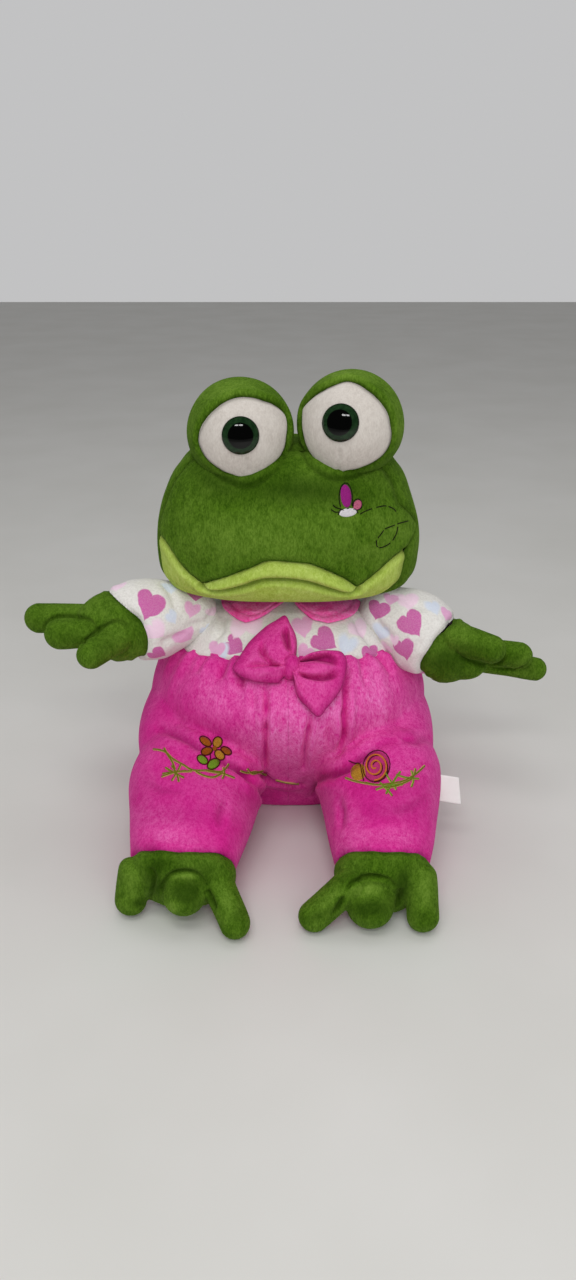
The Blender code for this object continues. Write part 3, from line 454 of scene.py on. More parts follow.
def smooth_mesh(shape, passes):
    for _ in range(passes):
        bmesh.ops.smooth_vert(
            shape, verts=shape.verts, factor=0.5, use_axis_x=True, use_axis_y=True, use_axis_z=True
        )
    return shape


# %% Finished pieces
def made_object(name, shape, materials):
    mesh = bpy.data.meshes.new(name)
    shape.to_mesh(mesh)
    shape.free()
    obj = linked(name, mesh)
    for material in materials:
        mesh.materials.append(material)
    mesh.shade_smooth()
    return obj


def add_part(whole, shape):
    """Adds a shape to a joined one, and frees it."""
    mesh = bpy.data.meshes.new("part")
    shape.to_mesh(mesh)
    shape.free()
    whole.from_mesh(mesh)
    bpy.data.meshes.remove(mesh)


def settle(obj):
    """Applies an object's modifiers to its mesh."""
    graph = bpy.context.evaluated_depsgraph_get()
    mesh = bpy.data.meshes.new_from_object(obj.evaluated_get(graph))
    obj.modifiers.clear()
    obj.data = mesh
    mesh.shade_smooth()
    return obj


def walled(obj, thickness):
    """Gives a sheet its cloth thickness, inwards."""
    wall = obj.modifiers.new("cloth", "SOLIDIFY")
    wall.thickness = thickness
    wall.offset = -1
    return settle(obj)


def stands_for(obj, nodes):
    """Hides the nodes that a piece replaces, and prints its number of faces."""
    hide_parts(*nodes)
    print(f"{obj.name}: {len(obj.data.polygons)} faces")
    return obj


PILE_WALL = 1.2 * MM


def pile_piece(name, shape, material):
    """A sheet of pile cloth with its thickness."""
    return walled(made_object(name, shape, [material]), PILE_WALL)


# %% [markdown]
# ## Finishes
# Every cloth here is short pile. Its fibres lean in patches, so the same cloth is lighter where they lean
# towards the light and deeper where they lean away. A shader group makes those patches, the nap and the
# height of the fibres, and paints shade and light from an attribute on the mesh; each cloth gives it its own
# colours.


# %% Helpers for shader nodes
def fed(tree, made, inputs):
    """Links or sets a node's inputs, and gives the node back."""
    for name, value in dict(inputs).items():
        socket = made.inputs[name]
        if isinstance(value, bpy.types.NodeSocket):
            tree.links.new(value, socket)
        else:
            socket.default_value = value
    return made


def node(tree, kind, inputs=(), **settings):
    made = tree.nodes.new("ShaderNode" + kind)
    for name, value in settings.items():
        setattr(made, name, value)
    return fed(tree, made, inputs)


def maths(tree, operation, *values):
    made = node(tree, "Math", dict(enumerate(values)), operation=operation)
    return made.outputs[0]


def in_shares(tree, first, first_share, second, second_share):
    """Two values added, each by its share."""
    larger = maths(tree, "MULTIPLY", first, first_share)
    return maths(tree, "ADD", larger, maths(tree, "MULTIPLY", second, second_share))


def vector_maths(tree, operation, first, second):
    """Adds or takes away a vector, or scales by a number, which has the last socket."""
    place = "Scale" if operation == "SCALE" else 1
    return node(tree, "VectorMath", {0: first, place: second}, operation=operation).outputs[0]


def mixed(tree, share, first, second, blend="MIX"):
    sockets = {0: share, 6: first, 7: second}
    made = node(tree, "Mix", sockets, data_type="RGBA", blend_type=blend)
    return made.outputs[2]


def ranged(tree, value, low, high, new_low=0.0, new_high=1.0):
    sockets = {0: value, 1: low, 2: high, 3: new_low, 4: new_high}
    return node(tree, "MapRange", sockets).outputs[0]


def noise_value(tree, vector, scale, detail=2.0, rough_share=0.5, distortion=0.0):
    sockets = {
        "Vector": vector,
        "Scale": scale,
        "Detail": detail,
        "Roughness": rough_share,
        "Distortion": distortion,
    }
    return node(tree, "TexNoise", sockets).outputs["Fac"]


def shader_group(name, inputs, outputs):
    """An empty node group. Inputs are (name, kind, default) and outputs (name, kind)."""
    tree = bpy.data.node_groups.new(name, "ShaderNodeTree")
    for label, kind, default in inputs:
        kind = "NodeSocket" + kind
        socket = tree.interface.new_socket(name=label, in_out="INPUT", socket_type=kind)
        socket.default_value = default
    for label, kind in outputs:
        tree.interface.new_socket(name=label, in_out="OUTPUT", socket_type="NodeSocket" + kind)
    start = tree.nodes.new("NodeGroupInput").outputs
    end = tree.nodes.new("NodeGroupOutput").inputs
    return tree, start, end


def use_group(tree, group, inputs):
    made = tree.nodes.new("ShaderNodeGroup")
    made.node_tree = group
    return fed(tree, made, inputs)


def bumped(tree, height, strength, distance):
    """A normal that a height bends."""
    sockets = {"Height": height, "Strength": strength, "Distance": distance}
    return node(tree, "Bump", sockets).outputs[0]


def object_place(tree):
    return node(tree, "TexCoord").outputs["Object"]


def print_place(tree):
    return node(tree, "UVMap", uv_map="print").outputs[0]


def new_material(name):
    material = bpy.data.materials.new(name)
    material.use_nodes = True
    tree = material.node_tree
    return material, tree, tree.nodes["Principled BSDF"]


def rgb(red, green, blue):
    """A colour given as the eye sees it, from 0 to 255, as the linear value a shader wants."""
    return tuple((value / 255) ** 2.2 for value in (red, green, blue)) + (1.0,)


# %% The pile group
def make_pile_group():
    tree, start, end = shader_group(
        "pile cloth",
        [
            ("Colour", "Color", rgb(80, 120, 30)),
            ("Brushed", "Color", rgb(100, 140, 50)),
            ("Deep", "Color", rgb(40, 60, 20)),
            ("Patch Scale", "Float", 40.0),
            ("Patch Contrast", "Float", 0.5),
            ("Nap Scale", "Float", 900.0),
            ("Painted Shading", "Float", 0.0),
        ],
        [("Colour", "Color"), ("Roughness", "Float"), ("Height", "Float")],
    )
    place = object_place(tree)
    patches = noise_value(tree, place, start["Patch Scale"], 3.0, 0.5, 0.6)
    leaning = ranged(tree, patches, 0.36, 0.66)
    leaning = maths(tree, "MULTIPLY", leaning, start["Patch Contrast"])
    # Below 0 the painted shading is painted light, which lifts the pile towards its brushed colour.
    painted_light = ranged(tree, start["Painted Shading"], 0.0, -1.0)
    leaning = maths(tree, "MINIMUM", maths(tree, "ADD", leaning, painted_light), 1.0)
    combed = node(tree, "Mapping", {"Vector": place, "Scale": (1.0, 1.0, 0.45)}).outputs[0]
    nap = noise_value(tree, combed, start["Nap Scale"], 3.0, 0.65, 0.3)
    nap_tone = ranged(tree, nap, 0.38, 0.62)
    tufts = noise_value(tree, combed, maths(tree, "MULTIPLY", start["Nap Scale"], 0.36), 2.0)
    tuft_tone = ranged(tree, tufts, 0.36, 0.64)
    tone = in_shares(tree, nap_tone, 0.6, tuft_tone, 0.4)
    body = mixed(tree, tone, start["Deep"], start["Colour"])
    lifted = mixed(tree, tone, start["Colour"], start["Brushed"])
    colour = mixed(tree, leaning, body, lifted)
    # Above 0 it is painted shade, which darkens the pile towards its deep colour, dimmed.
    painted_shade = ranged(tree, start["Painted Shading"], 0.0, 1.0, 0.0, 0.72)
    shade_colour = mixed(tree, 1.0, start["Deep"], (0.55, 0.55, 0.55, 1.0), blend="MULTIPLY")
    colour = mixed(tree, painted_shade, colour, shade_colour)
    tree.links.new(colour, end["Colour"])
    tree.links.new(ranged(tree, leaning, 0.0, 1.0, 0.95, 0.82), end["Roughness"])
    tree.links.new(in_shares(tree, nap, 0.55, tufts, 0.45), end["Height"])
    return tree


PILE_GROUP = make_pile_group()


def pile_material(name, colour, brushed, deep, nap=1000.0, contrast=0.4, sheen=0.4, depth=1.5):
    """Pile in three colours: as it lies, brushed to the light, and in its depth; the deep colour, dimmed, is
    also that of the painted shade. The depth of its relief is in mm."""
    material, tree, shader = new_material(name)
    hollow = node(tree, "Attribute", attribute_name="hollow").outputs["Fac"]
    looks = {"Colour": colour, "Brushed": brushed, "Deep": deep, "Painted Shading": hollow}
    looks |= {"Patch Scale": 36.0, "Patch Contrast": contrast, "Nap Scale": nap}
    cloth = use_group(tree, PILE_GROUP, looks)
    finish = {
        "Base Color": cloth.outputs["Colour"],
        "Roughness": cloth.outputs["Roughness"],
        "Normal": bumped(tree, cloth.outputs["Height"], 0.8, depth * MM),
        "Sheen Weight": sheen,
        "Sheen Roughness": 0.3,
        "Sheen Tint": brushed,
        "Specular IOR Level": 0.1,
    }
    fed(tree, shader, finish)
    return material


GREEN_PILE = pile_material("green_pile", rgb(84, 118, 32), rgb(116, 146, 58), rgb(48, 77, 11))
LIP_COLOURS = rgb(180, 202, 96), rgb(198, 216, 126), rgb(146, 170, 62)
LIP_PILE = pile_material("light_green_pile", *LIP_COLOURS)
PINK_COLOURS = rgb(222, 54, 151), rgb(248, 136, 204), rgb(196, 32, 126)
PINK_PILE = pile_material("pink_pile", *PINK_COLOURS, contrast=0.38)
# The collar's own hot pink, raised in brightness: painted light that makes up for the shade under the chin.
COLLAR_COLOURS = rgb(255, 100, 182), rgb(255, 160, 214), rgb(240, 44, 142)
COLLAR_PILE = pile_material("collar_pile", *COLLAR_COLOURS, nap=650, contrast=0.8)
BOW_PILE = pile_material("bow_pile", rgb(216, 54, 144), rgb(236, 112, 182), rgb(184, 26, 116))
EYE_COLOURS = rgb(206, 199, 191), rgb(216, 210, 203), rgb(186, 178, 170)
EYE_PILE = pile_material("eye_white_pile", *EYE_COLOURS, sheen=0.1, depth=0.4)

# %% [markdown]
# The top is brushed fleece, white with hearts printed on it in deep pink, pale pink and pale
# blue. A heart is a curve with a formula, so a group turns a place on the print into a mask
# for one heart, and each cloth has its own list of hearts.


# %% Printed hearts
def make_heart_group():
    tree, start, end = shader_group(
        "printed heart",
        [
            ("Place", "Vector", (0, 0, 0)),
            ("Centre", "Vector", (0, 0, 0)),
            ("Turn", "Float", 0.0),
            ("Size", "Float", 1.0),
            ("Blur", "Float", 0.05),
        ],
        [("Mask", "Float")],
    )
    away = vector_maths(tree, "SUBTRACT", start["Place"], start["Centre"])
    turn = {"Vector": away, "Angle": start["Turn"]}
    turned = node(tree, "VectorRotate", turn, rotation_type="Z_AXIS").outputs[0]
    scaled = vector_maths(tree, "SCALE", turned, maths(tree, "DIVIDE", 2.0, start["Size"]))
    split = node(tree, "SeparateXYZ", {0: scaled}).outputs
    lobe = maths(tree, "SQRT", maths(tree, "ABSOLUTE", split[0]))
    raised = maths(tree, "ADD", maths(tree, "MULTIPLY", split[1], 1.15), 0.35)
    raised = maths(tree, "SUBTRACT", raised, maths(tree, "MULTIPLY", lobe, 0.8))
    across = maths(tree, "MULTIPLY", split[0], split[0])
    up = maths(tree, "MULTIPLY", raised, raised)
    reach = maths(tree, "SQRT", maths(tree, "ADD", across, up))
    outside = maths(tree, "ADD", 1.0, start["Blur"])
    inside = maths(tree, "SUBTRACT", 1.0, start["Blur"])
    tree.links.new(ranged(tree, reach, outside, inside), end["Mask"])
    return tree


HEART_GROUP = make_heart_group()
HEART_COLOURS = {
    "deep": rgb(194, 84, 156),
    "pink": rgb(224, 160, 202),
    "pale": rgb(236, 204, 224),
    "blue": rgb(206, 214, 230),
}
HEART_BLURS = {"deep": 0.05, "pink": 0.10, "pale": 0.16, "blue": 0.22}
PRINT_WOBBLE = 2.4 * MM


def fleece_material(name, hearts):
    """White fleece with hearts: each is (u, v, size, turn in degrees, colour)."""
    material, tree, shader = new_material(name)
    place = object_place(tree)
    waves = {"Vector": place, "Scale": 160.0, "Detail": 2.0}
    wobble = node(tree, "TexNoise", waves).outputs["Color"]
    centred = vector_maths(tree, "SUBTRACT", wobble, (0.5, 0.5, 0.5))
    shift = vector_maths(tree, "SCALE", centred, PRINT_WOBBLE)
    blurred = vector_maths(tree, "ADD", print_place(tree), shift)
    curls = noise_value(tree, place, 620.0, 3.0, 0.6)
    fine = noise_value(tree, place, 1900.0, 2.0, 0.5)
    shade = ranged(tree, curls, 0.32, 0.62)
    colour = mixed(tree, shade, rgb(210, 206, 201), rgb(226, 223, 218))
    for u, v, size, turn, kind in hearts:
        drawn = {"Place": blurred, "Centre": (u, v, 0.0), "Turn": math.radians(turn)}
        drawn |= {"Size": size, "Blur": HEART_BLURS[kind]}
        heart = use_group(tree, HEART_GROUP, drawn)
        colour = mixed(tree, heart.outputs["Mask"], colour, HEART_COLOURS[kind])
    worn = mixed(tree, ranged(tree, fine, 0.35, 0.75, 0.0, 0.22), colour, rgb(244, 240, 238))
    finish = {
        "Base Color": worn,
        "Roughness": ranged(tree, shade, 0.0, 1.0, 0.98, 0.86),
        "Normal": bumped(tree, curls, 0.7, 0.7 * MM),
        "Sheen Weight": 0.15,
        "Specular IOR Level": 0.12,
    }
    fed(tree, shader, finish)
    return material


# %% Thread, plastic and the label's satin
def thread_material(name, colour, dark):
    """Satin stitches: fine ridges across the print's v, with painted shade between them, a little uneven."""
    material, tree, shader = new_material(name)
    ridges = {"Vector": print_place(tree), "Scale": 2600.0, "Distortion": 1.2, "Detail": 2.0}
    waves = node(tree, "TexWave", ridges, bands_direction="Y").outputs["Fac"]
    tone = noise_value(tree, object_place(tree), 700.0, 2.0)
    # Between the ridges the thread takes its dark colour: painted shade in the grooves between stitches.
    body = mixed(tree, ranged(tree, waves, 0.0, 0.8), dark, colour)
    finish = {
        "Base Color": mixed(tree, ranged(tree, tone, 0.4, 0.7, 0.0, 0.35), body, dark),
        "Roughness": ranged(tree, tone, 0.3, 0.7, 0.32, 0.5),
        "Normal": bumped(tree, waves, 0.6, 0.25 * MM),
        "Specular IOR Level": 0.2,
    }
    fed(tree, shader, finish)
    return material


# Each thread's colour and its darker one, which paints shade between the stitches and gives the uneven tone.
THREAD_COLOURS = {
    "magenta": ((190, 52, 158), (120, 24, 100)),
    "rose": ((218, 120, 150), (160, 70, 100)),
    "white": ((248, 244, 246), (214, 208, 214)),
    "dark": ((38, 26, 26), (18, 12, 12)),
    "umber": ((98, 36, 26), (56, 18, 14)),
    "brown": ((186, 104, 34), (124, 62, 20)),
    "leaf": ((136, 176, 52), (88, 120, 28)),
    "olive": ((140, 138, 40), (92, 92, 24)),
    "straw": ((228, 202, 132), (190, 160, 92)),
    "shell": ((218, 66, 136), (168, 40, 100)),
    "orange": ((236, 142, 62), (190, 96, 38)),
    "ochre": ((212, 158, 60), (150, 100, 30)),
}
THREADS = {
    name: thread_material(f"{name}_thread", rgb(*colour), rgb(*dark))
    for name, (colour, dark) in THREAD_COLOURS.items()
}


def plastic_eye_material():
    """Black pupil and dark green rim under one glossy dome. Print u is the share of radius."""
    material, tree, shader = new_material("eye_plastic")
    out = node(tree, "SeparateXYZ", {0: print_place(tree)}).outputs[0]
    place = object_place(tree)
    swirl = noise_value(tree, place, 420.0, 3.0)
    green = mixed(tree, ranged(tree, swirl, 0.35, 0.65), rgb(22, 42, 24), rgb(34, 56, 34))
    pupil = ranged(tree, out, 0.70, 0.65)
    colour = mixed(tree, pupil, green, rgb(5, 6, 5))
    edge = ranged(tree, out, 0.93, 0.98)
    colour = mixed(tree, edge, colour, rgb(12, 26, 10))
    scuffs = noise_value(tree, place, 160.0, 4.0, 0.7)
    finish = {
        "Base Color": colour,
        "Roughness": ranged(tree, scuffs, 0.4, 0.8, 0.05, 0.09),
        "Specular IOR Level": 0.32,
    }
    fed(tree, shader, finish)
    return material


def label_material():
    """Woven satin: close fine ribs both ways."""
    material, tree, shader = new_material("label_satin")
    printed = print_place(tree)
    warp = node(tree, "TexWave", {"Vector": printed, "Scale": 1400.0}, bands_direction="X")
    weft = node(tree, "TexWave", {"Vector": printed, "Scale": 900.0}, bands_direction="Y")
    weave = maths(tree, "MULTIPLY", warp.outputs["Fac"], weft.outputs["Fac"])
    tone = ranged(tree, noise_value(tree, object_place(tree), 90.0, 3.0), 0.3, 0.7)
    finish = {
        "Base Color": mixed(tree, tone, rgb(244, 243, 240), rgb(252, 251, 249)),
        "Roughness": ranged(tree, weave, 0.0, 1.0, 0.5, 0.38),
        "Normal": bumped(tree, weave, 0.3, 0.1 * MM),
    }
    fed(tree, shader, finish)
    return material


EYE_PLASTIC = plastic_eye_material()
LABEL_SATIN = label_material()
print("materials:", len(bpy.data.materials))

# %% [markdown]
# ## The head
# One squat form carries four panels. The face's lower edge is a double arch that dips at both
# corners of the mouth. Between it and the mouth lies the puffed pale lip, and the chin wraps
# below. The back panel starts at a seam down each side.

# %% The head's form and its seam lines
HEAD_PLACE = Vector((0, -0.018, 0.181))
HEAD_HEIGHT, HEAD_HALF_WIDTH, HEAD_FRONT, HEAD_BACK = 0.110, 0.0945, 0.057, 0.058
HEAD_SHARES = (
    (0.00, 0.00, 0.00, 0.00),
    (0.03, 0.78, 0.68, 0.47),
    (0.12, 0.955, 0.90, 0.70),
    (0.28, 0.995, 0.96, 0.91),
    (0.47, 0.98, 1.00, 0.99),
    (0.66, 0.915, 0.93, 0.98),
    (0.82, 0.82, 0.83, 0.82),
    (0.95, 0.62, 0.60, 0.58),
    (1.00, 0.00, 0.00, 0.00),
)
HEAD = Form(
    sized(HEAD_SHARES, HEAD_HEIGHT, HEAD_HALF_WIDTH, HEAD_FRONT, HEAD_BACK),
    Matrix.Translation(HEAD_PLACE),
    squareness=2.35,
)
HEAD_TREE = tree_of(form_mesh(HEAD))
HEAD_CENTRE = HEAD_PLACE + Vector((0, 0, HEAD_HEIGHT / 2))
SIDE_SEAM_Y = -0.026

LEFT_CORNER, RIGHT_CORNER = (201, 585), (358, 589)
LEFT_JAW = [(164, 542), (174, 558), (185, 572), LEFT_CORNER]
ARCH = [LEFT_CORNER, (212, 582), (225, 578), (248, 570), (266, 563), (275, 562), (284, 563)]
ARCH += [(297, 564), (311, 566), (332, 574), (345, 580), RIGHT_CORNER]
RIGHT_JAW = [RIGHT_CORNER, (369, 581), (380, 572), (392, 561), (404, 552)]
MOUTH = [(201, 587), (214, 591), (230, 590), (246, 586), (261, 581), (282, 580), (307, 583)]
MOUTH += [(329, 589.5), (345, 593), (358, 591)]


def seam_table(pixels):
    """The polar share of a seam on the head's front, for each azimuth."""
    azimuth, polar = HEAD.front_angles(landed_line(HEAD_TREE, pixels))
    order = np.argsort(azimuth)
    return azimuth[order], polar[order]


def widened(table, polar_left, polar_right):
    """The same seam carried on to the sides of the head."""
    azimuth, polar = table
    azimuth = np.concatenate([[-math.pi], azimuth, [0.0]])
    return azimuth, np.concatenate([[polar_left], polar, [polar_right]])


JAW_LEFT = seam_table(curved(LEFT_JAW))
JAW_RIGHT = seam_table(curved(RIGHT_JAW))
JAW_RISE = 0.04
JAW_ENDS = (JAW_LEFT[1][0] + JAW_RISE, JAW_RIGHT[1][-1] + JAW_RISE)
WHOLE_EDGE = curved(LEFT_JAW)[:-1] + curved(ARCH) + curved(RIGHT_JAW)[1:]
FACE_EDGE = widened(seam_table(WHOLE_EDGE), *JAW_ENDS)
ARCH_EDGE = seam_table(curved(ARCH))
MOUTH_EDGE = seam_table(curved(MOUTH))


def edge_line(table, count=120):
    azimuth = np.linspace(table[0][0], table[0][-1], count)
    return HEAD.points(azimuth, np.interp(azimuth, *table))


FACE_LINE = edge_line(FACE_EDGE)
MOUTH_LINE = edge_line(MOUTH_EDGE)
print("mouth corners at", [round(float(v), 3) for v in (MOUTH_EDGE[0][0], MOUTH_EDGE[0][-1])])

SIDE_SEAM = [(399, 464), (408, 482), (414, 502), (417, 522), (413, 538), (406, 552)]
SIDE_SEAM += [(403, 566), (396, 580)]
side_line = landed_line(HEAD_TREE, SIDE_SEAM)
side_line = side_line[np.argsort(side_line[:, 2])]
# The seam's distance in front of its plane: its limits on the side that is seen, and its value
# on the far side. Between them it changes over this half width.
SEAM_LIMITS, FAR_SEAM, SEAM_CHANGE = (-24 * MM, -4 * MM), -8 * MM, 0.04
print("side seam runs at y", side_line[:, 1].round(3), "z", side_line[:, 2].round(3))


def side_bend(points):
    """How far in front of its plane the seam down each side of the head runs."""
    left = np.interp(points[:, 2], side_line[:, 2], side_line[:, 1]) - SIDE_SEAM_Y
    left = np.clip(left, *SEAM_LIMITS)
    side = np.clip(points[:, 0] / SEAM_CHANGE, -1, 1) * 0.5 + 0.5
    return FAR_SEAM + (left - FAR_SEAM) * side


# %% The four head panels
def side_mark(points):
    """The groove of the seam down each side of the head."""
    away = np.abs(points[:, 1] - SIDE_SEAM_Y - side_bend(points))
    return -2.0 * MM * hill(away, 3.0 * MM)


def puffed_lip(points):
    """The lip swells between its two seams."""
    away = np.minimum(nearest(points, FACE_LINE)[0], nearest(points, MOUTH_LINE)[0])
    return 3.0 * MM * (1 - np.exp(-away / (3 * MM)))


def under_lip(points):
    """The chin's cloth passes under the lip."""
    azimuth, polar = HEAD.front_angles(points)
    inside = (azimuth > MOUTH_EDGE[0][0]) & (azimuth < MOUTH_EDGE[0][-1])
    above = (polar - np.interp(azimuth, *MOUTH_EDGE)) / 0.03
    return side_mark(points) - 1.8 * MM * inside * np.clip(above, 0, 1)


def head_band(low, high, left, right):
    """Lays a grid between two seam tables and two azimuths."""

    def lay(u, v):
        azimuth = left + (right - left) * u
        bottom = np.interp(azimuth, *low) if low else np.zeros(len(u))
        top = np.interp(azimuth, *high) if high else np.ones(len(u))
        return HEAD.points(azimuth, bottom + (top - bottom) * v)

    return lay


SEAM_MARK = seam(2.0 * MM, 2.2 * MM)
MOUTH_MARK = crease(1.9 * MM, 3.8 * MM, swell=0.2)
LID_MARK = crease(1.9 * MM, 2.4 * MM, swell=0.0, fade=True)
LID_LINES = [
    [(196, 440), (201, 455), (212, 469), (226, 479), (246, 486), (264, 478), (276, 468), (286, 454)],
    [(298, 436), (303, 452), (314, 467), (333, 477.5), (352, 476), (374, 467), (388, 455), (396, 440)],
]
LID_LINES = [landed_line(HEAD_TREE, curved(line)) for line in LID_LINES]


def head_panel(name, lay, size, marks, material, side, seed, extra=side_mark, painted_patches=()):
    shape = laid_grid(*size, lay, closed=True)
    if side:
        bent_cut(shape, (0, SIDE_SEAM_Y, 0), (0, 1, 0), side_bend, keep_far=side == "back")
    facing_out(shape, HEAD_CENTRE)
    paint_shading_patches(sculpt(shape, marks, seed=seed, extra=extra), painted_patches)
    return pile_piece(name, shape, material)


# Painted shading on the face: shade under the eyes, where they cast it, and painted light on the lower face
# and the cheek.
FACE_PAINTED_SHADING = [
    ((300, 490), (76, 15), 3, 1.0), ((212, 482), (26, 10), 35, 0.6),
    ((288, 464), (14, 18), 0, 0.35), ((250, 545), (90, 26), 0, -0.35),
    ((390, 520), (22, 30), 0, -0.25), ((196, 560), (18, 24), 0, 0.25),
]
FACE_MARKS = [(SEAM_MARK, FACE_LINE)] + [(LID_MARK, line) for line in LID_LINES]
LIP_MARKS = [(SEAM_MARK, FACE_LINE), (MOUTH_MARK, MOUTH_LINE)]
lay_face = head_band(FACE_EDGE, None, -math.pi, 0.0)
lay_chin = head_band(None, FACE_EDGE, -math.pi, 0.0)
lay_lip = head_band(MOUTH_EDGE, ARCH_EDGE, ARCH_EDGE[0][0], ARCH_EDGE[0][-1])
lay_back = head_band(None, None, -math.pi / 2, 1.5 * math.pi)
face = head_panel(
    "face_cloth", lay_face, (190, 110), FACE_MARKS, GREEN_PILE, "front", 1.0, painted_patches=FACE_PAINTED_SHADING
)
chin = head_panel(
    "chin_cloth", lay_chin, (190, 60), LIP_MARKS, LIP_PILE, "front", 2.0, extra=under_lip
)
lip = head_panel("lip_cloth", lay_lip, (150, 16), LIP_MARKS, LIP_PILE, None, 3.0, extra=puffed_lip)
back_head = head_panel("head_back_cloth", lay_back, (210, 90), [], GREEN_PILE, "back", 4.0)
stands_for(face, ["face_panel", "head_filling"])
stands_for(chin, ["chin_panel"])
stands_for(lip, ["lip_panel"])
stands_for(back_head, ["head_back_panel"])
for piece in (face, chin, lip, back_head):
    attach(piece, "head")

# %% [markdown]
# ## The eyes
# Each eye is a stuffed ball. Its pale front is a rounded shape that narrows below, and the
# green cap rolls over it at the top like a lid. Both are laid round the line that the eye looks
# along, so the front's edge is a distance from that line for each direction round it.

# %% The eyes' shapes
EYE_RADIUS = 0.036
# The pale front starts at a pinhole and passes a little under the cap, as shares of its width.
FRONT_PINHOLE, FRONT_OVERLAP = 0.0001, 1.05
EYES = {
    "right": {
        "centre": Vector((-0.0320, -0.033, 0.298)),
        "pupil": (240.5, 435.6),
        "edge": [
            *[(196, 434), (203, 419), (214, 407), (225, 399.5), (238, 395), (250, 395)],
            *[(265, 399), (278, 404), (287, 412), (290, 424), (289, 437), (287, 449)],
            *[(282, 459), (272, 468), (260, 475.5), (246, 482), (232, 478), (216, 470)],
            *[(205, 461), (199, 451), (195.5, 442)],
        ],
        "dart": [(247, 459), (249, 471)],
    },
    "left": {
        "centre": Vector((0.0420, -0.033, 0.303)),
        "pupil": (340.2, 422.7),
        "edge": [
            *[(301, 407), (309, 397), (321, 389), (333, 383), (347, 378.5), (357, 381)],
            *[(368, 388), (378, 396), (389, 410), (393, 425), (394, 436), (391, 448)],
            *[(385, 457), (376, 464), (364, 469.5), (350, 473), (336, 474.5), (323, 469.5)],
            *[(312, 460), (305, 449), (301, 436), (299.5, 421)],
        ],
        "dart": [(339, 451), (339, 471)],
    },
}
PUPIL_RADIUS, PUPIL_BASE, PUPIL_DOME, PUPIL_STEPS = 0.0121, 0.9 * MM, 5.0 * MM, 14
# The plastic eye's foot: shares of its radius, and heights over the edge of its seat.
PUPIL_FOOT = [(0.0, -0.5 * MM), (0.9, -0.5 * MM), (0.985, 0.1 * MM), (1.0, 0.8 * MM)]
# The lid rolls out above this share of the radius under the middle, and sinks in below it.
LID_TURN = 0.35
LID_ROLL, LID_WIDTH, LID_SINK = 1.8 * MM, 7 * MM, 2.4 * MM
RIM_DIP, RIM_DIP_ABOVE, RIM_WIDTH = 1.6 * MM, 2.4 * MM, 1.5 * MM
# Painted light on the tops and outer sides of the eye caps.
HOOD_PAINTED_SHADING = {
    "right": [((232, 388), (36, 9), -14, -0.55), ((190, 425), (7, 24), 20, -0.3)],
    "left": [((345, 374), (34, 8), 0, -0.55), ((404, 440), (9, 34), 0, -0.4)],
}


def ball_mesh(centre, radius, around=64, steps=48):
    shape = bmesh.new()
    bmesh.ops.create_uvsphere(shape, u_segments=around, v_segments=steps, radius=radius)
    bmesh.ops.translate(shape, verts=shape.verts, vec=centre)
    return shape


def eye_frame(eye):
    """The eye's axis through the middle of its front, and two directions across it."""
    tree = tree_of(ball_mesh(eye["centre"], EYE_RADIUS))
    edge = [Vector(point) for point in landed_line(tree, eye["edge"])]
    middle = sum((point - eye["centre"] for point in edge), Vector()).normalized()
    across = middle.cross(Vector((0, 0, 1))).normalized() * -1
    up = across.cross(middle).normalized() * -1
    turns, widths = [], []
    for point in edge:
        way = (point - eye["centre"]).normalized()
        turns.append(math.atan2(way.dot(up), way.dot(across)) % math.tau)
        widths.append(math.acos(min(way.dot(middle), 1.0)))
    order = np.argsort(turns)
    turns, widths = np.array(turns)[order], np.array(widths)[order]
    turns = np.concatenate([turns - math.tau, turns, turns + math.tau])
    return tree, (np.array(middle), np.array(across), np.array(up)), (turns, np.tile(widths, 3))


def on_ball(eye, axes, turn, width, radius=EYE_RADIUS):
    middle, across, up = axes
    ring = np.cos(turn)[:, None] * across + np.sin(turn)[:, None] * up
    way = np.cos(width)[:, None] * middle + np.sin(width)[:, None] * ring
    return np.array(eye["centre"]) + radius * way


def smoothed_edge(edge, count=360):
    """The edge's width for any direction, with its corners rounded."""
    turn = np.linspace(0, math.tau, count, endpoint=False)
    width = np.interp(turn, *edge)
    spare, window = 8, np.hanning(13)
    wrapped = np.concatenate([width[-spare:], width, width[:spare]])
    return turn, np.convolve(wrapped, window / window.sum(), mode="same")[spare:-spare]


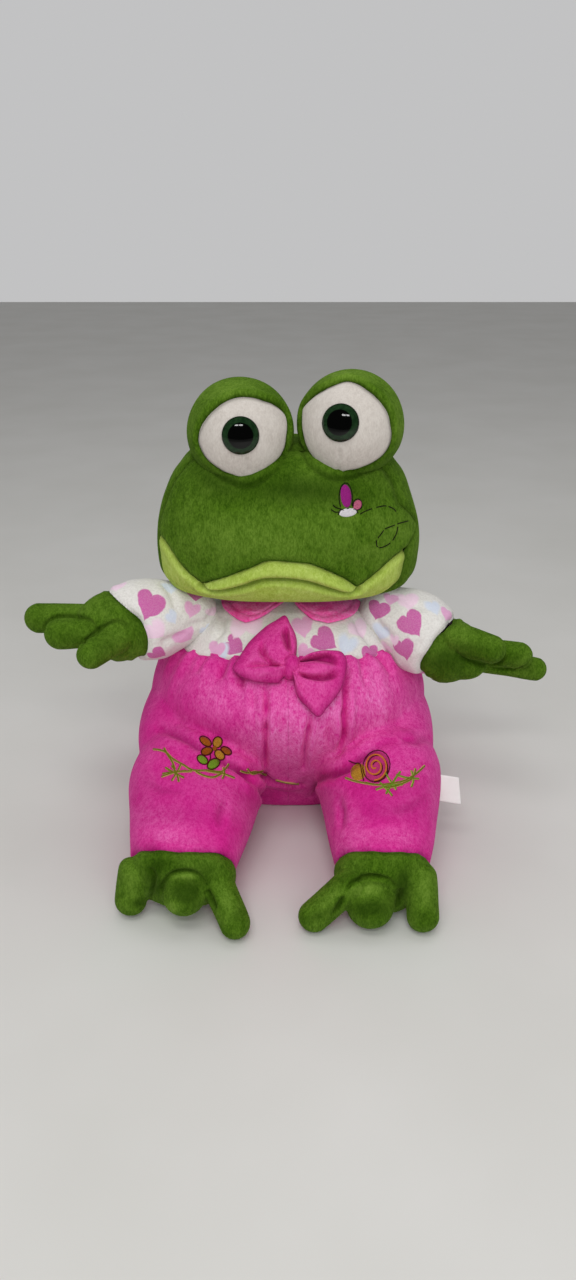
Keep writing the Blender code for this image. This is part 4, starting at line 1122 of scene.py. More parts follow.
def eye_pieces(name, eye):
    tree, axes, edge = eye_frame(eye)
    turns, widths = smoothed_edge(edge)

    def width_at(turn):
        return np.interp(turn % math.tau, turns, widths, period=math.tau)

    rim = on_ball(eye, axes, turns, widths)
    rim = np.vstack([rim, rim[:1]])

    def lay_front(u, v):
        turn = u * math.tau
        return on_ball(eye, axes, turn, width_at(turn) * (v * FRONT_OVERLAP + FRONT_PINHOLE))

    def lay_hood(u, v):
        turn = u * math.tau
        start = width_at(turn)
        return on_ball(eye, axes, turn, start + (math.pi - start) * v)

    centre = eye["centre"]
    dart = landed_line(tree, eye["dart"])
    front = laid_grid(110, 36, lay_front, closed=True)
    facing_out(front, centre)
    marks = [(crease(3.0 * MM, 2.6 * MM, swell=0.0), rim), (crease(1.2 * MM, 0.8 * MM), dart)]
    sculpt(front, marks, lumps=0.25 * MM, seed=5.0)

    def lid(points):
        """A roll over the top of the front, gone below, where the cap sinks into the head."""
        away, _ = nearest(points, rim)
        high = np.clip(((points - np.array(centre)) @ axes[2]) / EYE_RADIUS, -1.0, 1.0)
        roll = LID_ROLL * hill(away, LID_WIDTH) * np.clip(high + LID_TURN, 0, 1)
        sink = LID_SINK * np.clip(-high - LID_TURN, 0, 1)
        dip = RIM_DIP + RIM_DIP_ABOVE * np.clip(high * 2 + 0.5, 0, 1)
        return roll - sink - dip * hill(away, RIM_WIDTH)

    hood = laid_grid(120, 60, lay_hood, closed=True)
    facing_out(hood, centre)
    sculpt(hood, [], lumps=0.45 * MM, seed=6.0, extra=lid)
    paint_shading_patches(hood, HOOD_PAINTED_SHADING[name])
    front = pile_piece(f"eye_front_{name}", front, EYE_PILE)
    hood = pile_piece(f"eye_cap_{name}", hood, GREEN_PILE)
    stands_for(front, [f"eye_white_{name}", f"eye_washer_{name}"])
    stands_for(hood, [f"eye_hood_{name}", f"eye_filling_{name}"])
    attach(front, "head")
    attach(hood, "head")
    return tree


def plastic_eye(name, eye, tree):
    """The domed eye, spun round its own axis."""
    point, _ = landed(tree, eye["pupil"])
    look = (point - eye["centre"]).normalized()
    place = aimed(eye["centre"], look)
    edge = math.sqrt(EYE_RADIUS**2 - PUPIL_RADIUS**2)
    profile = [(PUPIL_RADIUS * share, edge + rise) for share, rise in PUPIL_FOOT]
    for step in range(1, PUPIL_STEPS + 1):
        angle = math.pi / 2 * step / PUPIL_STEPS
        rise = edge + PUPIL_BASE + PUPIL_DOME * math.sin(angle)
        profile.append((PUPIL_RADIUS * math.cos(angle) * (step < PUPIL_STEPS), rise))
    shape = bmesh.new()
    corners = [shape.verts.new((radius, 0, along)) for radius, along in profile]
    edges = [shape.edges.new(pair) for pair in zip(corners, corners[1:])]
    whole_turn = {"cent": (0, 0, 0), "axis": (0, 0, 1), "angle": math.tau, "steps": 72}
    bmesh.ops.spin(shape, geom=corners + edges, use_merge=True, **whole_turn)
    bmesh.ops.remove_doubles(shape, verts=shape.verts, dist=WELD)
    bmesh.ops.recalc_face_normals(shape, faces=shape.faces)
    layer = shape.loops.layers.uv.new("print")
    for face_part in shape.faces:
        for loop in face_part.loops:
            x, y, _ = loop.vert.co
            loop[layer].uv = (math.hypot(x, y) / PUPIL_RADIUS, math.atan2(y, x))
    bmesh.ops.transform(shape, matrix=place, verts=shape.verts)
    made = made_object(f"plastic_eye_{name}", shape, [EYE_PLASTIC])
    stands_for(made, [f"safety_eye_{name}"])
    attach(made, "head")
    print(f"the {name} eye looks along", [round(value, 2) for value in look])


for side_name, eye_facts in EYES.items():
    eye_tree = eye_pieces(side_name, eye_facts)
    plastic_eye(side_name, eye_facts, eye_tree)

# %% [markdown]
# ## The body and the trousers
# The belly and both thighs are one run of cloth, so the torso's form and the two leg forms are
# fused, smoothed where they meet, and then cut at the waist and the hems. A voxel remesh does
# the fusing. The trousers have a seam down the middle, and each half bends with its own leg.

# %% The torso and limb forms
TORSO_BASE = -0.004
TORSO_HEIGHT, TORSO_HALF_WIDTH, TORSO_FRONT, TORSO_BACK = 0.1815, 0.107, 0.105, 0.060
TORSO_SHARES = (
    (0.000, 0.00, 0.00, 0.00),
    (0.016, 0.66, 0.35, 0.64),
    (0.143, 0.86, 0.48, 0.90),
    (0.341, 0.97, 0.73, 1.00),
    (0.527, 1.00, 0.945, 0.985),
    (0.687, 0.915, 1.00, 0.92),
    (0.824, 0.765, 0.81, 0.79),
    (0.934, 0.57, 0.57, 0.63),
    (1.000, 0.00, 0.00, 0.00),
)
TORSO = Form(
    sized(TORSO_SHARES, TORSO_HEIGHT, TORSO_HALF_WIDTH, TORSO_FRONT, TORSO_BACK),
    Matrix.Translation((0, 0, TORSO_BASE)),
    squareness=2.2,
)
TORSO_CENTRE = Vector((0, -0.02, 0.09))
WAIST_Z = 0.1500
ARM_LENGTH, ARM_SWELL, ARM_ROOT_RADIUS, WRIST_RADIUS = 0.047, 0.0285, 0.020, 0.0240
ARM_SHARES = ((0.26, 0.85, 0.85, 0.85), (0.56, 1.0, 1.0, 1.0), (0.82, 1.0, 0.97, 0.97))
LEG_LENGTH, LEG_RADIUS, HEM_HALF_WIDTH, HEM_HALF_HEIGHT = 0.070, 0.049, 0.036, 0.029
LEG_SHARES = ((0.30, 0.27), (0.62, 0.56), (0.86, 0.84))
SIDES = {"right": -1, "left": 1}
SHOULDER_ROOT, LEG_ROOT = (0.072, -0.030, 0.1635), (0.067, -0.085, 0.0485)
CUFF_SPARE = 0.013
ARM_SLOPE = {"right": math.radians(3), "left": math.radians(25)}
ARM_FORWARD = math.radians(20)
TOP_PLACES = (-0.02, 0.012, 0.026, 0.0385, 0.047, 0.060)
ARM_TOPS = {"right": (1.1, 1.12, 1.1, 1.2, 1.32, 1.2), "left": (1.2, 1.14, 1.02, 1.0, 1.0, 1.0)}
HEM_SHIFT = {"right": -0.004, "left": -0.003}
HEM_DROP = 0.0175


def on_side(place, side):
    return Vector((side * place[0], *place[1:]))


def arm_form(name):
    side, slope = SIDES[name], ARM_SLOPE[name]
    level = math.cos(slope)
    way = Vector(
        (side * level * math.cos(ARM_FORWARD), -level * math.sin(ARM_FORWARD), -math.sin(slope))
    )
    root = on_side(SHOULDER_ROOT, side)
    rows = round_end(ARM_ROOT_RADIUS, 0.0, 4, closing=False)
    rows.append((0.0, ARM_ROOT_RADIUS, ARM_ROOT_RADIUS, ARM_ROOT_RADIUS))
    rows += sized(ARM_SHARES, ARM_LENGTH, ARM_SWELL, ARM_SWELL, ARM_SWELL)
    rows.append((ARM_LENGTH, WRIST_RADIUS, WRIST_RADIUS, WRIST_RADIUS))
    cuff = WRIST_RADIUS * 0.97
    rows.append((ARM_LENGTH + CUFF_SPARE, cuff, cuff, cuff))
    half = WRIST_RADIUS / 2
    end = ARM_LENGTH + CUFF_SPARE + half
    rows.append((end, half, half, half))
    rows.append((end, 0.0, 0.0, 0.0))
    higher = [np.interp(row[0], TOP_PLACES, ARM_TOPS[name]) for row in rows]
    rows = [(*row[:3], row[3] * share) for row, share in zip(rows, higher)]
    return Form(rows, aimed(root, way)), root, way


LEG_RADII = {"right": (0.0490, 0.0360), "left": (0.0450, 0.0322)}


def leg_form(name):
    side = SIDES[name]
    thigh, ankle = LEG_RADII[name]
    way = Vector((HEM_SHIFT[name], -LEG_LENGTH, -HEM_DROP)).normalized()
    root = on_side(LEG_ROOT, side)
    rows = round_end(LEG_RADIUS, 0.0, 4, closing=False)
    rows.append((0.0, thigh, LEG_RADIUS, LEG_RADIUS))
    for along, hem in LEG_SHARES:
        width = thigh + (ankle - thigh) * hem
        height = LEG_RADIUS + (HEM_HALF_HEIGHT - LEG_RADIUS) * hem
        rows.append((LEG_LENGTH * along, width, height, height))
    rows.append((LEG_LENGTH, ankle, HEM_HALF_HEIGHT, HEM_HALF_HEIGHT))
    spare = LEG_LENGTH + CUFF_SPARE
    rows.append((spare, ankle * 0.98, HEM_HALF_HEIGHT * 0.95, HEM_HALF_HEIGHT * 0.95))
    end = spare + 0.010
    rows.append((end, ankle / 2, HEM_HALF_HEIGHT / 2, HEM_HALF_HEIGHT / 2))
    rows.append((end, 0.0, 0.0, 0.0))
    return Form(rows, aimed(root, way)), root, way


ARMS = {name: arm_form(name) for name in SIDES}
LEGS = {name: leg_form(name) for name in SIDES}

# %% [markdown]
# A cuff seam isn't flat. The stuffed hand pushes its seam back over the front of the sleeve,
# and the trousers reach further over the top of the foot. So each seam is a plane that bends
# with the direction round the limb: front, top and bottom have their own shifts.


# %% Bent cuff seams
def cuff_bend(centre, way, front, top, bottom):
    """How far a cuff's seam lies along its limb, by the direction round the limb."""
    centre, way = np.array(centre), np.array(way)
    up = np.array((0, 0, 1)) - way * way[2]
    up /= np.linalg.norm(up)
    side = np.array(-FORWARD) - way * np.dot(-np.array(FORWARD), way)
    side -= up * (side @ up)
    side /= np.linalg.norm(side)

    def bend(points):
        local = points - centre
        high, near = local @ up, local @ side
        total = np.sqrt(high**2 + near**2) + MM
        high, near = high / total, near / total
        lift = np.where(high > 0, top, bottom) * high**2
        return lift + front * np.clip(near, 0, 1) ** 1.5

    return bend


CUFF_SHIFTS = {"right": (-9.5, 10.0, 0.0), "left": (-7.5, -3.0, 5.0)}
HEM_RISE = 11.0 * MM
CUFF_FADE, CUFF_GROOVE, CUFF_GROOVE_WIDTH = 8 * MM, 2.2 * MM, 2.4 * MM
WRISTS, HEMS = {}, {}
for name in SIDES:
    _, root, way = ARMS[name]
    wrist = root + way * ARM_LENGTH
    shifts = [shift * MM for shift in CUFF_SHIFTS[name]]
    WRISTS[name] = (wrist, way, cuff_bend(wrist, way, *shifts))
    _, root, way = LEGS[name]
    hem = root + way * LEG_LENGTH
    HEMS[name] = (hem, way, cuff_bend(hem, way, 0.0, HEM_RISE, 0.0))


def split_along(points, centre, way):
    """How far points lie along a limb, and where they lie across it."""
    local, way = points - np.array(centre), np.array(way)
    along = local @ way
    return along, local - along[:, None] * way


def cuff_mark(cuff, reach, gather, count):
    """Cloth at a cuff: drawn in at the seam, with small gathers behind or before it."""
    centre, way, bend = cuff

    def mark(points):
        along, across = split_along(points, centre, way)
        near = lengths(across) < reach * 1.5
        off = np.abs(along - bend(points))
        turn = np.arctan2(across[:, 2], across @ np.cross(way, (0, 0, 1)))
        ripple = np.sin(turn * count + 2.0 * rough(points, 45, 5.0))
        move = gather * ripple * np.exp(-off / CUFF_FADE)
        return near * (move - CUFF_GROOVE * hill(off, CUFF_GROOVE_WIDTH))

    return mark


# %% Fusing shapes
def fused(name, shapes, voxel, smoothing):
    """Overlapping closed shapes made into one even skin."""
    whole = bmesh.new()
    for shape in shapes:
        add_part(whole, shape)
    obj = made_object(name, whole, [])
    remesh = obj.modifiers.new("fuse", "REMESH")
    remesh.mode = "VOXEL"
    remesh.voxel_size = voxel
    settle(obj)
    shape = bmesh.new()
    shape.from_mesh(obj.data)
    bpy.data.objects.remove(obj)
    return smooth_mesh(shape, smoothing)


HIP_PLACES = {"right": Vector((-0.0790, -0.046, 0.074)), "left": Vector((0.0765, -0.046, 0.074))}
HIP_WAY, HIP_SIZE = Vector((0, -0.85, -0.42)), (0.034, 0.034, 0.056)


def oval_mesh(place, size):
    shape = bmesh.new()
    bmesh.ops.create_uvsphere(shape, u_segments=40, v_segments=28, radius=1)
    bmesh.ops.scale(shape, verts=shape.verts, vec=size)
    bmesh.ops.transform(shape, matrix=place, verts=shape.verts)
    return shape


hips = []
for place in HIP_PLACES.values():
    hips.append(oval_mesh(aimed(place, HIP_WAY), HIP_SIZE))
trousers_shape = fused(
    "trousers_fused",
    [form_mesh(TORSO)] + [form_mesh(LEGS[name][0]) for name in SIDES] + hips,
    1.6 * MM,
    14,
)
print("trousers fused:", len(trousers_shape.faces), "faces")

# %% Folds and gathers of the trousers
TROUSER_TREE = tree_of(trousers_shape)
PLEATS = [
    (1.9, 5.0, [(265, 684), (266, 706), (265.5, 730), (265, 752), (265, 776)]),
    (1.8, 1.8, [(252.5, 677), (253, 700), (253, 723)]),
    (1.8, 1.4, [(257.5, 687), (258, 715), (257, 743)]),
    (1.9, 4.6, [(311, 714), (308, 732), (305, 750), (304, 770)]),
    (2.2, 5.4, [(345, 664), (345, 690), (344.5, 715), (344, 738), (338, 754)]),
    (2.6, 3.0, [(229, 657), (225, 668), (219, 680)]),
    (2.6, 3.0, [(241, 662), (241.5, 676), (241, 690)]),
    (2.6, 2.8, [(211, 654), (204, 662), (196, 674)]),
    (2.6, 2.8, [(377, 655), (385, 664), (392, 676)]),
    (2.4, 2.4, [(359, 656), (362, 672), (366, 688)]),
    (2.2, 1.8, [(330, 720), (329, 735), (330, 750)]),
    (2.2, 1.6, [(283, 700), (284, 720), (284, 740)]),
]
FOLDS = [
    (3.4, 4.6, [(212, 752), (228, 764), (247, 774), (267, 779), (290, 784.5), (306, 784)]),
    (3.4, 4.6, [(300, 784.5), (320, 778), (334, 774), (347, 769), (366, 755), (398, 738)]),
    (3.2, 3.4, [(156, 725), (176, 735), (198, 747), (214, 752)]),
    (2.8, 3.0, [(238, 769), (250, 781), (262, 793), (270, 801)]),
    (2.8, 2.4, [(320, 778), (318, 788), (312, 798)]),
    (3.2, 1.8, [(226, 800), (221, 812), (219, 828)]),
    (3.2, 1.8, [(338, 796), (342, 812), (341, 830)]),
    (3.4, 2.2, [(402, 740), (416, 742), (430, 738)]),
    (3.0, 1.4, [(140, 780), (160, 790), (184, 793)]),
    (3.0, 1.4, [(392, 812), (412, 806), (430, 797)]),
]
WAIST_RISE, WAIST_DROP, WAIST_HALF_WIDTH = 2.5 * MM, 8.0 * MM, 0.07
GATHERS, GATHER_DEPTH, GATHER_SWELL, GATHER_FADE = 25, 2.0 * MM, 2.8 * MM, 14 * MM
WAIST_GROOVE, WAIST_GROOVE_WIDTH = 3.6 * MM, 2.2 * MM
LEG_REACH, FAR_OFF = 0.065, 0.3


def waist_bend(points):
    """The waist sits lower at the sides than in front."""
    return WAIST_RISE - WAIST_DROP * (points[:, 0] / WAIST_HALF_WIDTH) ** 2


def gathers(points):
    """Gathers below the waist, where the pile is drawn in by the waist seam."""
    below = WAIST_Z + waist_bend(points) - points[:, 2]
    turn = np.arctan2(points[:, 1] + 0.02, points[:, 0])
    ripple = np.sin(turn * GATHERS + 2.6 * rough(points, 30, 3.0))
    fade = np.exp(-np.clip(below, 0, 1) / GATHER_FADE)
    move = (GATHER_DEPTH * ripple + GATHER_SWELL) * fade
    return move - WAIST_GROOVE * hill(below, WAIST_GROOVE_WIDTH)


def trouser_marks(points):
    move = gathers(points)
    for name in SIDES:
        move += cuff_mark(HEMS[name], HEM_HALF_WIDTH, 0.5 * MM, 11)(points)
    return move


def own_leg(centre, way, bend):
    """The same bend for one leg, and far off at the other leg, which its seam doesn't cut."""

    def bent(points):
        _, across = split_along(points, centre, way)
        return np.where(lengths(across) < LEG_REACH, bend(points), FAR_OFF)

    return bent


# Painted shading on the trousers: painted light on the belly, and painted shade and light on the thighs and
# hips.
TROUSER_PAINTED_SHADING = [
    ((285, 742), (38, 34), 0, -1.0), ((285, 700), (44, 26), 0, -0.35),
    ((380, 700), (36, 36), 20, -0.6), ((205, 700), (30, 34), 0, -0.3),
    ((200, 725), (30, 16), 20, 0.3), ((160, 760), (22, 22), 0, -0.3),
    ((180, 815), (44, 12), 0, 0.3), ((170, 838), (34, 9), 0, -0.35),
    ((392, 835), (36, 12), 0, -0.3), ((385, 812), (30, 10), 0, 0.25),
    ((410, 760), (20, 22), 0, -0.4), ((250, 800), (22, 10), 30, 0.3),
    ((330, 800), (14, 20), 0, 0.3), ((190, 775), (66, 46), 0, 0.3),
    ((395, 785), (50, 46), 0, 0.32), ((148, 846), (24, 8), 0, 0.3),
    ((336, 720), (30, 40), 0, -0.5),
]
bent_cut(trousers_shape, (0, 0, WAIST_Z), (0, 0, 1), waist_bend)
for name in SIDES:
    hem, way, bend = HEMS[name]
    bent_cut(trousers_shape, hem, way, own_leg(hem, way, bend))
marks = fold_marks(TROUSER_TREE, PLEATS + FOLDS, 0.45)
sculpt(trousers_shape, marks, lumps=1.2 * MM, lump_scale=26, seed=7.0, extra=trouser_marks)
on_floor(paint_shading_patches(trousers_shape, TROUSER_PAINTED_SHADING))
TROUSER_TREE = tree_of(trousers_shape)

# %% The two halves of the trousers
# The cloth passes from the torso to a leg between these two places.
BLEND_START, BLEND_END = (LEG_ROOT[0], -0.058, 0.07), (LEG_ROOT[0], -0.118, 0.04)
HIP_BLEND = {
    name: (on_side(BLEND_START, side), on_side(BLEND_END, side)) for name, side in SIDES.items()
}
for name, side in SIDES.items():
    half = trousers_shape.copy()
    cut_plane(half, (0, 0, 0), (-side, 0, 0))
    half = pile_piece(f"trousers_{name}_half", half, PINK_PILE)
    nodes = [f"trouser_leg_{name}", f"leg_filling_{name}"]
    if name == "right":
        nodes += ["trousers_front", "trousers_back", "seat_panel", "torso_filling"]
    stands_for(half, nodes)
    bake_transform(half, "torso", f"leg_{name}", *HIP_BLEND[name])

# %% [markdown]
# ## The feet and the hands
# A foot is a pad with three stuffed toes, and a hand is a palm with three fingers. Rounded rods
# and an oval pad are fused and smoothed, which gives the soft web between two fingers.


# %% Fingers and toes
def finger_mesh(start, end, root, radius):
    """A stuffed rod between the centres of its round root and its round end."""
    way = Vector(end) - Vector(start)
    middle = (root + radius) / 2
    rows = round_end(root, 0.0, 4, closing=False)
    rows.append((0.0, root, root, root))
    rows.append((way.length * 0.5, middle, middle, middle))
    rows.append((way.length, radius, radius, radius))
    rows += round_end(radius, way.length, 5, closing=True)
    rows[-1] = (rows[-1][0], 0.0, 0.0, 0.0)
    return form_mesh(Form(rows, aimed(start, way, (0.01, 0.02, 1))), 32, 32)


PALMS = {
    "right": ((113, 619), 5.0, (0.0190, 0.0205, 0.0260)),
    "left": ((452, 651), 3.0, (0.0180, 0.0185, 0.0270)),
}
FINGERS = {
    "right": [
        ((100, 618), 2.0, (40, 618), 4.0, 10.0, 10.8),
        ((93, 633), 12.0, (60, 634), 18.0, 10.4, 11.0),
        ((121, 637), 17.0, (91, 655), 33.0, 9.8, 9.9),
    ],
    "left": [
        ((444, 634), 14.0, (491, 649), 28.0, 12.0, 10.5),
        ((468, 650), 8.0, (519, 655), 13.0, 9.3, 9.5),
        ((474, 659), -1.0, (535, 669), 0.0, 9.0, 8.6),
    ],
}
FINGER_CREASES = {
    "right": [
        [(45, 631), (47, 623), (56, 617), (72, 616.5), (86, 619), (93, 624), (96, 631)],
        [(77, 652), (84, 643), (94, 634), (104, 626), (114, 621.5), (123, 623), (130, 631)],
    ],
    "left": [
        [(506, 654), (502, 661), (492, 665), (478, 663.5), (463, 658), (455, 652)],
        [(532, 658), (526, 665), (514, 669), (498, 669.5), (486, 666)],
    ],
}
# Painted shade between and under the fingers, with a little painted light on the left hand.
HAND_PAINTED_SHADING = {
    "right": [
        ((105, 646), (14, 7), -38, 0.5), ((66, 636), (15, 6), 0, 0.4),
        ((36, 622), (9, 8), 0, 0.3), ((135, 620), (9, 22), -20, 0.35),
    ],
    "left": [
        ((478, 649), (20, 6), 12, 0.55), ((514, 657), (12, 5), 8, 0.5),
        ((528, 668), (9, 6), 15, 0.5), ((448, 660), (22, 14), 0, 1.1),
        ((500, 662), (20, 4), 8, 0.5), ((462, 626), (14, 6), 30, -0.3),
    ],
}
TOES = {
    "right": [
        ((135, 871), 33.0, (131, 899), 12.0, 11.0, 11.0),
        ((186, 866), 32.0, (184, 893), 24.6, 14.2, 14.8),
        ((214, 874), 32.0, (235, 923), 10.5, 11.0, 10.3),
    ],
    "left": [
        ((350, 884), 32.0, (314, 916), 10.5, 11.0, 10.4),
        ((371, 873), 31.0, (370, 904), 17.2, 15.0, 16.0),
        ((420, 878), 33.0, (423, 916), 10.8, 11.4, 10.7),
    ],
}
PADS = {"right": (0, -0.003, -0.009), "left": (0, -0.005, -0.011)}
TOE_CREASES = {
    "right": [
        [(150, 868), (154, 876), (153, 888), (149, 900)],
        [(161, 895), (163, 884), (170, 875), (181, 871), (193, 872), (202, 878), (207, 888)],
        [(207, 890), (212, 899), (216, 909)],
    ],
    "left": [
        [(345, 893), (350, 884), (358, 879), (368, 876), (380, 877), (390, 881), (395, 888)],
        [(344, 896), (339, 905), (334, 914)],
        [(401, 888), (399, 898), (397, 908)],
    ],
}
# Painted shade on the feet and between the toes, and painted light on parts of the toes, some of it as pile
# that leans one way.
FOOT_PAINTED_SHADING = {
    "right": [
        ((182, 880), (70, 40), 0, 0.15), ((154, 874), (10, 14), 0, 0.9),
        ((205, 872), (8, 10), -30, 0.5), ((140, 902), (7, 5), 0, 0.6),
        ((132, 886), (8, 18), 0, -0.5), ((226, 898), (8, 20), -25, -0.45),
        ((187, 893), (15, 13), 0, 1.3), ((172, 907), (6, 7), 40, -0.9),
        ((203, 897), (4, 12), 0, -0.8), ((156, 884), (5, 14), 0, 0.8),
        ((212, 900), (5, 10), -25, 0.8), ((184, 876), (18, 4), 0, -1.1),
        ((238, 915), (8, 11), 0, 0.6), ((136, 904), (9, 6), 0, 0.4),
        ((168, 864), (16, 8), 0, 0.5), ((176, 908), (14, 5), 0, -0.5),
    ],
    "left": [
        ((375, 885), (75, 40), 0, 0.12), ((403, 886), (7, 14), 0, 0.8),
        ((350, 878), (12, 6), -35, 0.5), ((440, 880), (5, 14), 0, -0.4),
        ((334, 898), (16, 7), -42, -0.45), ((425, 892), (8, 18), 0, -0.5),
        ((399, 896), (4, 14), 10, 0.8), ((338, 904), (5, 12), 35, 0.7),
        ((370, 909), (16, 8), -6, 1.3), ((318, 916), (14, 5), -28, 0.7),
        ((424, 918), (8, 8), 0, 0.6), ((403, 878), (8, 12), 0, 0.4),
        ((364, 890), (20, 6), -10, -1.0),
    ],
}


WRIST_SIZE = (0.0252, 0.0252, 0.014)
ANKLE_HALF_HEIGHT, ANKLE_HALF_LENGTH = 0.0292, 0.018
PAD_SHARE, PAD_HALF_LENGTH, PAD_HALF_HEIGHT = 0.8, 0.0190, 0.0205
LIMB_VOXEL = 0.9 * MM


def creases_on(shape, lines, width, depth):
    rows = [(width, depth, curved(line, 3)) for line in lines]
    return fold_marks(tree_of(shape), rows, 0.2)


def make_hand(name):
    wrist, way, bend = WRISTS[name]
    pixel, nearer, size = PALMS[name]
    palm = oval_mesh(aimed(seen_near(pixel, wrist, nearer), way), size)
    shapes = [form_mesh(ARMS[name][0]), palm]
    shapes.append(oval_mesh(aimed(wrist, way), WRIST_SIZE))
    for start, near_start, end, near_end, root, radius in FINGERS[name]:
        places = seen_near(start, wrist, near_start), seen_near(end, wrist, near_end)
        shapes.append(finger_mesh(*places, root * MM, radius * MM))
    shape = fused(f"hand_{name}_fused", shapes, LIMB_VOXEL, 2)
    bent_cut(shape, wrist, way, bend, keep_far=True)
    marks = creases_on(shape, FINGER_CREASES[name], 1.3, 2.2)
    cuff = cuff_mark(WRISTS[name], WRIST_RADIUS * 1.3, 0.5 * MM, 9)
    sculpt(shape, marks, lumps=0.5 * MM, lump_scale=60, seed=9.0, extra=cuff)
    paint_shading_patches(shape, HAND_PAINTED_SHADING[name])
    hand = made_object(f"hand_{name}_cloth", shape, [GREEN_PILE])
    stands_for(hand, [f"hand_{name}"])
    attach(hand, f"arm_{name}")


def make_foot(name):
    hem, way, bend = HEMS[name]
    ankle = LEG_RADII[name][1]
    ankle_size = (ankle, ANKLE_HALF_HEIGHT, ANKLE_HALF_LENGTH)
    pad_place = Matrix.Translation(hem + Vector(PADS[name]))
    pad_size = (ankle * PAD_SHARE, PAD_HALF_LENGTH, PAD_HALF_HEIGHT)
    shapes = [form_mesh(LEGS[name][0])]
    shapes.append(oval_mesh(aimed(hem, way), ankle_size))
    shapes.append(oval_mesh(pad_place, pad_size))
    for start, high_start, end, high_end, root, radius in TOES[name]:
        places = seen_above(start, high_start), seen_above(end, high_end)
        shapes.append(finger_mesh(*places, root * MM, radius * MM))
    shape = fused(f"foot_{name}_fused", shapes, LIMB_VOXEL, 1)
    bent_cut(shape, hem, way, bend, keep_far=True)
    marks = creases_on(shape, TOE_CREASES[name], 1.5, 3.4)
    cuff = cuff_mark(HEMS[name], HEM_HALF_WIDTH, 0.4 * MM, 11)
    sculpt(shape, marks, lumps=0.5 * MM, lump_scale=60, seed=10.0, extra=cuff)
    paint_shading_patches(on_floor(shape), FOOT_PAINTED_SHADING[name])
    foot = made_object(f"foot_{name}_cloth", shape, [GREEN_PILE])
    stands_for(foot, [f"foot_{name}"])
    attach(foot, f"leg_{name}")


for name in SIDES:
    make_hand(name)
    make_foot(name)

# %% [markdown]
# ## The top and its sleeves
# The top is a ring of fleece between the trousers and the neck, and each sleeve is a tube that
# starts over the shoulder and closes in at the wrist. The print's coordinates are metres on the
# cloth, so a heart is as large wherever it lies.

# %% The top
YOKE_TOP, YOKE_TUCKED = 1.0, 16.0 * MM
TUCK_DEPTH, TUCK_HEIGHT = 6.0 * MM, 3 * MM
HEIGHT_TABLE, BACK_TABLE = 600, 200


def polar_at_height(form, z):
    table = np.linspace(0, 1, HEIGHT_TABLE)
    heights = form.points(np.full(HEIGHT_TABLE, -math.pi / 2), table)[:, 2]
    return float(np.interp(z, heights, table))


YOKE_LOW = polar_at_height(TORSO, WAIST_Z - YOKE_TUCKED)
PRINT_SHIFT = 0.3


def run_along(points):
    """How far each point of a line lies from its first, along the line."""
    return np.concatenate([[0], np.cumsum(lengths(np.diff(points, axis=0)))])


# How far the back's cloth runs upwards, and round the toy for each metre of half width.
BACK_POLARS = np.linspace(YOKE_LOW, YOKE_TOP, BACK_TABLE)
BACK_RUN = run_along(TORSO.points(np.full(BACK_TABLE, math.pi / 2), BACK_POLARS))
BACK_TURNS = np.linspace(0, math.pi, BACK_TABLE)
MIDDLE_POLARS = np.full(BACK_TABLE, (YOKE_LOW + YOKE_TOP) / 2)
BACK_ROUND = run_along(TORSO.points(BACK_TURNS, MIDDLE_POLARS))
BACK_ROUND = (BACK_ROUND[-1] / 2 - BACK_ROUND) / TORSO.row(MIDDLE_POLARS)[0, 1]


def lay_yoke(front):
    """Half of the top. Its print lies flat to the camera in front, and upright behind."""

    def lay(u, v):
        azimuth = (math.pi if front else 0.0) + u * math.pi
        polar = YOKE_LOW + (YOKE_TOP - YOKE_LOW) * v
        points = TORSO.points(azimuth, polar)
        if front:
            return points, np.stack([points[:, 0], points @ np.array(UPWARD)], axis=1)
        run = np.interp(polar, BACK_POLARS, BACK_RUN)
        around = np.interp(azimuth, BACK_TURNS, BACK_ROUND) * TORSO.row(polar)[:, 1]
        return points, np.stack([around + PRINT_SHIFT, run], axis=1)

    return lay


YOKE_CREASES = [
    (2.4, 2.4, [(219, 606), (224, 618), (222, 632), (212, 644)]),
    (2.4, 2.4, [(353, 618), (360, 632), (372, 646), (384, 655)]),
    (2.4, 1.4, [(232, 628), (240, 640), (246, 652)]),
    (2.4, 1.2, [(352, 628), (345, 642), (340, 652)]),
]


def tucked(points):
    """Below the waist the top is tucked in behind the trousers."""
    below = WAIST_Z + waist_bend(points) - points[:, 2]
    return -TUCK_DEPTH * np.clip(below / TUCK_HEIGHT - 0.3, 0, 1)


yoke_shapes = {}
for half in ("front", "back"):
    shape = laid_grid(120, 60, lay_yoke(half == "front"), closed=True)
    facing_out(shape, TORSO_CENTRE)
    marks = fold_marks(tree_of(shape), YOKE_CREASES, 0.3) if half == "front" else []
    sculpt(shape, marks, lumps=0.9 * MM, lump_scale=40, seed=11.0, extra=tucked)
    yoke_shapes[half] = shape


SLEEVE_PRINT_RADIUS = 0.026


def lay_sleeve(name):
    form, _, _ = ARMS[name]

    def lay(u, v):
        last = len(form.rows) - 3
        wrist = (last - 2) / last
        azimuth = u * math.tau
        polar = wrist * v
        points = form.points(azimuth, polar)
        around, along = (azimuth - math.pi) * SLEEVE_PRINT_RADIUS, form.row(polar)[:, 0]
        return points, np.stack([around, along], axis=1)

    return lay


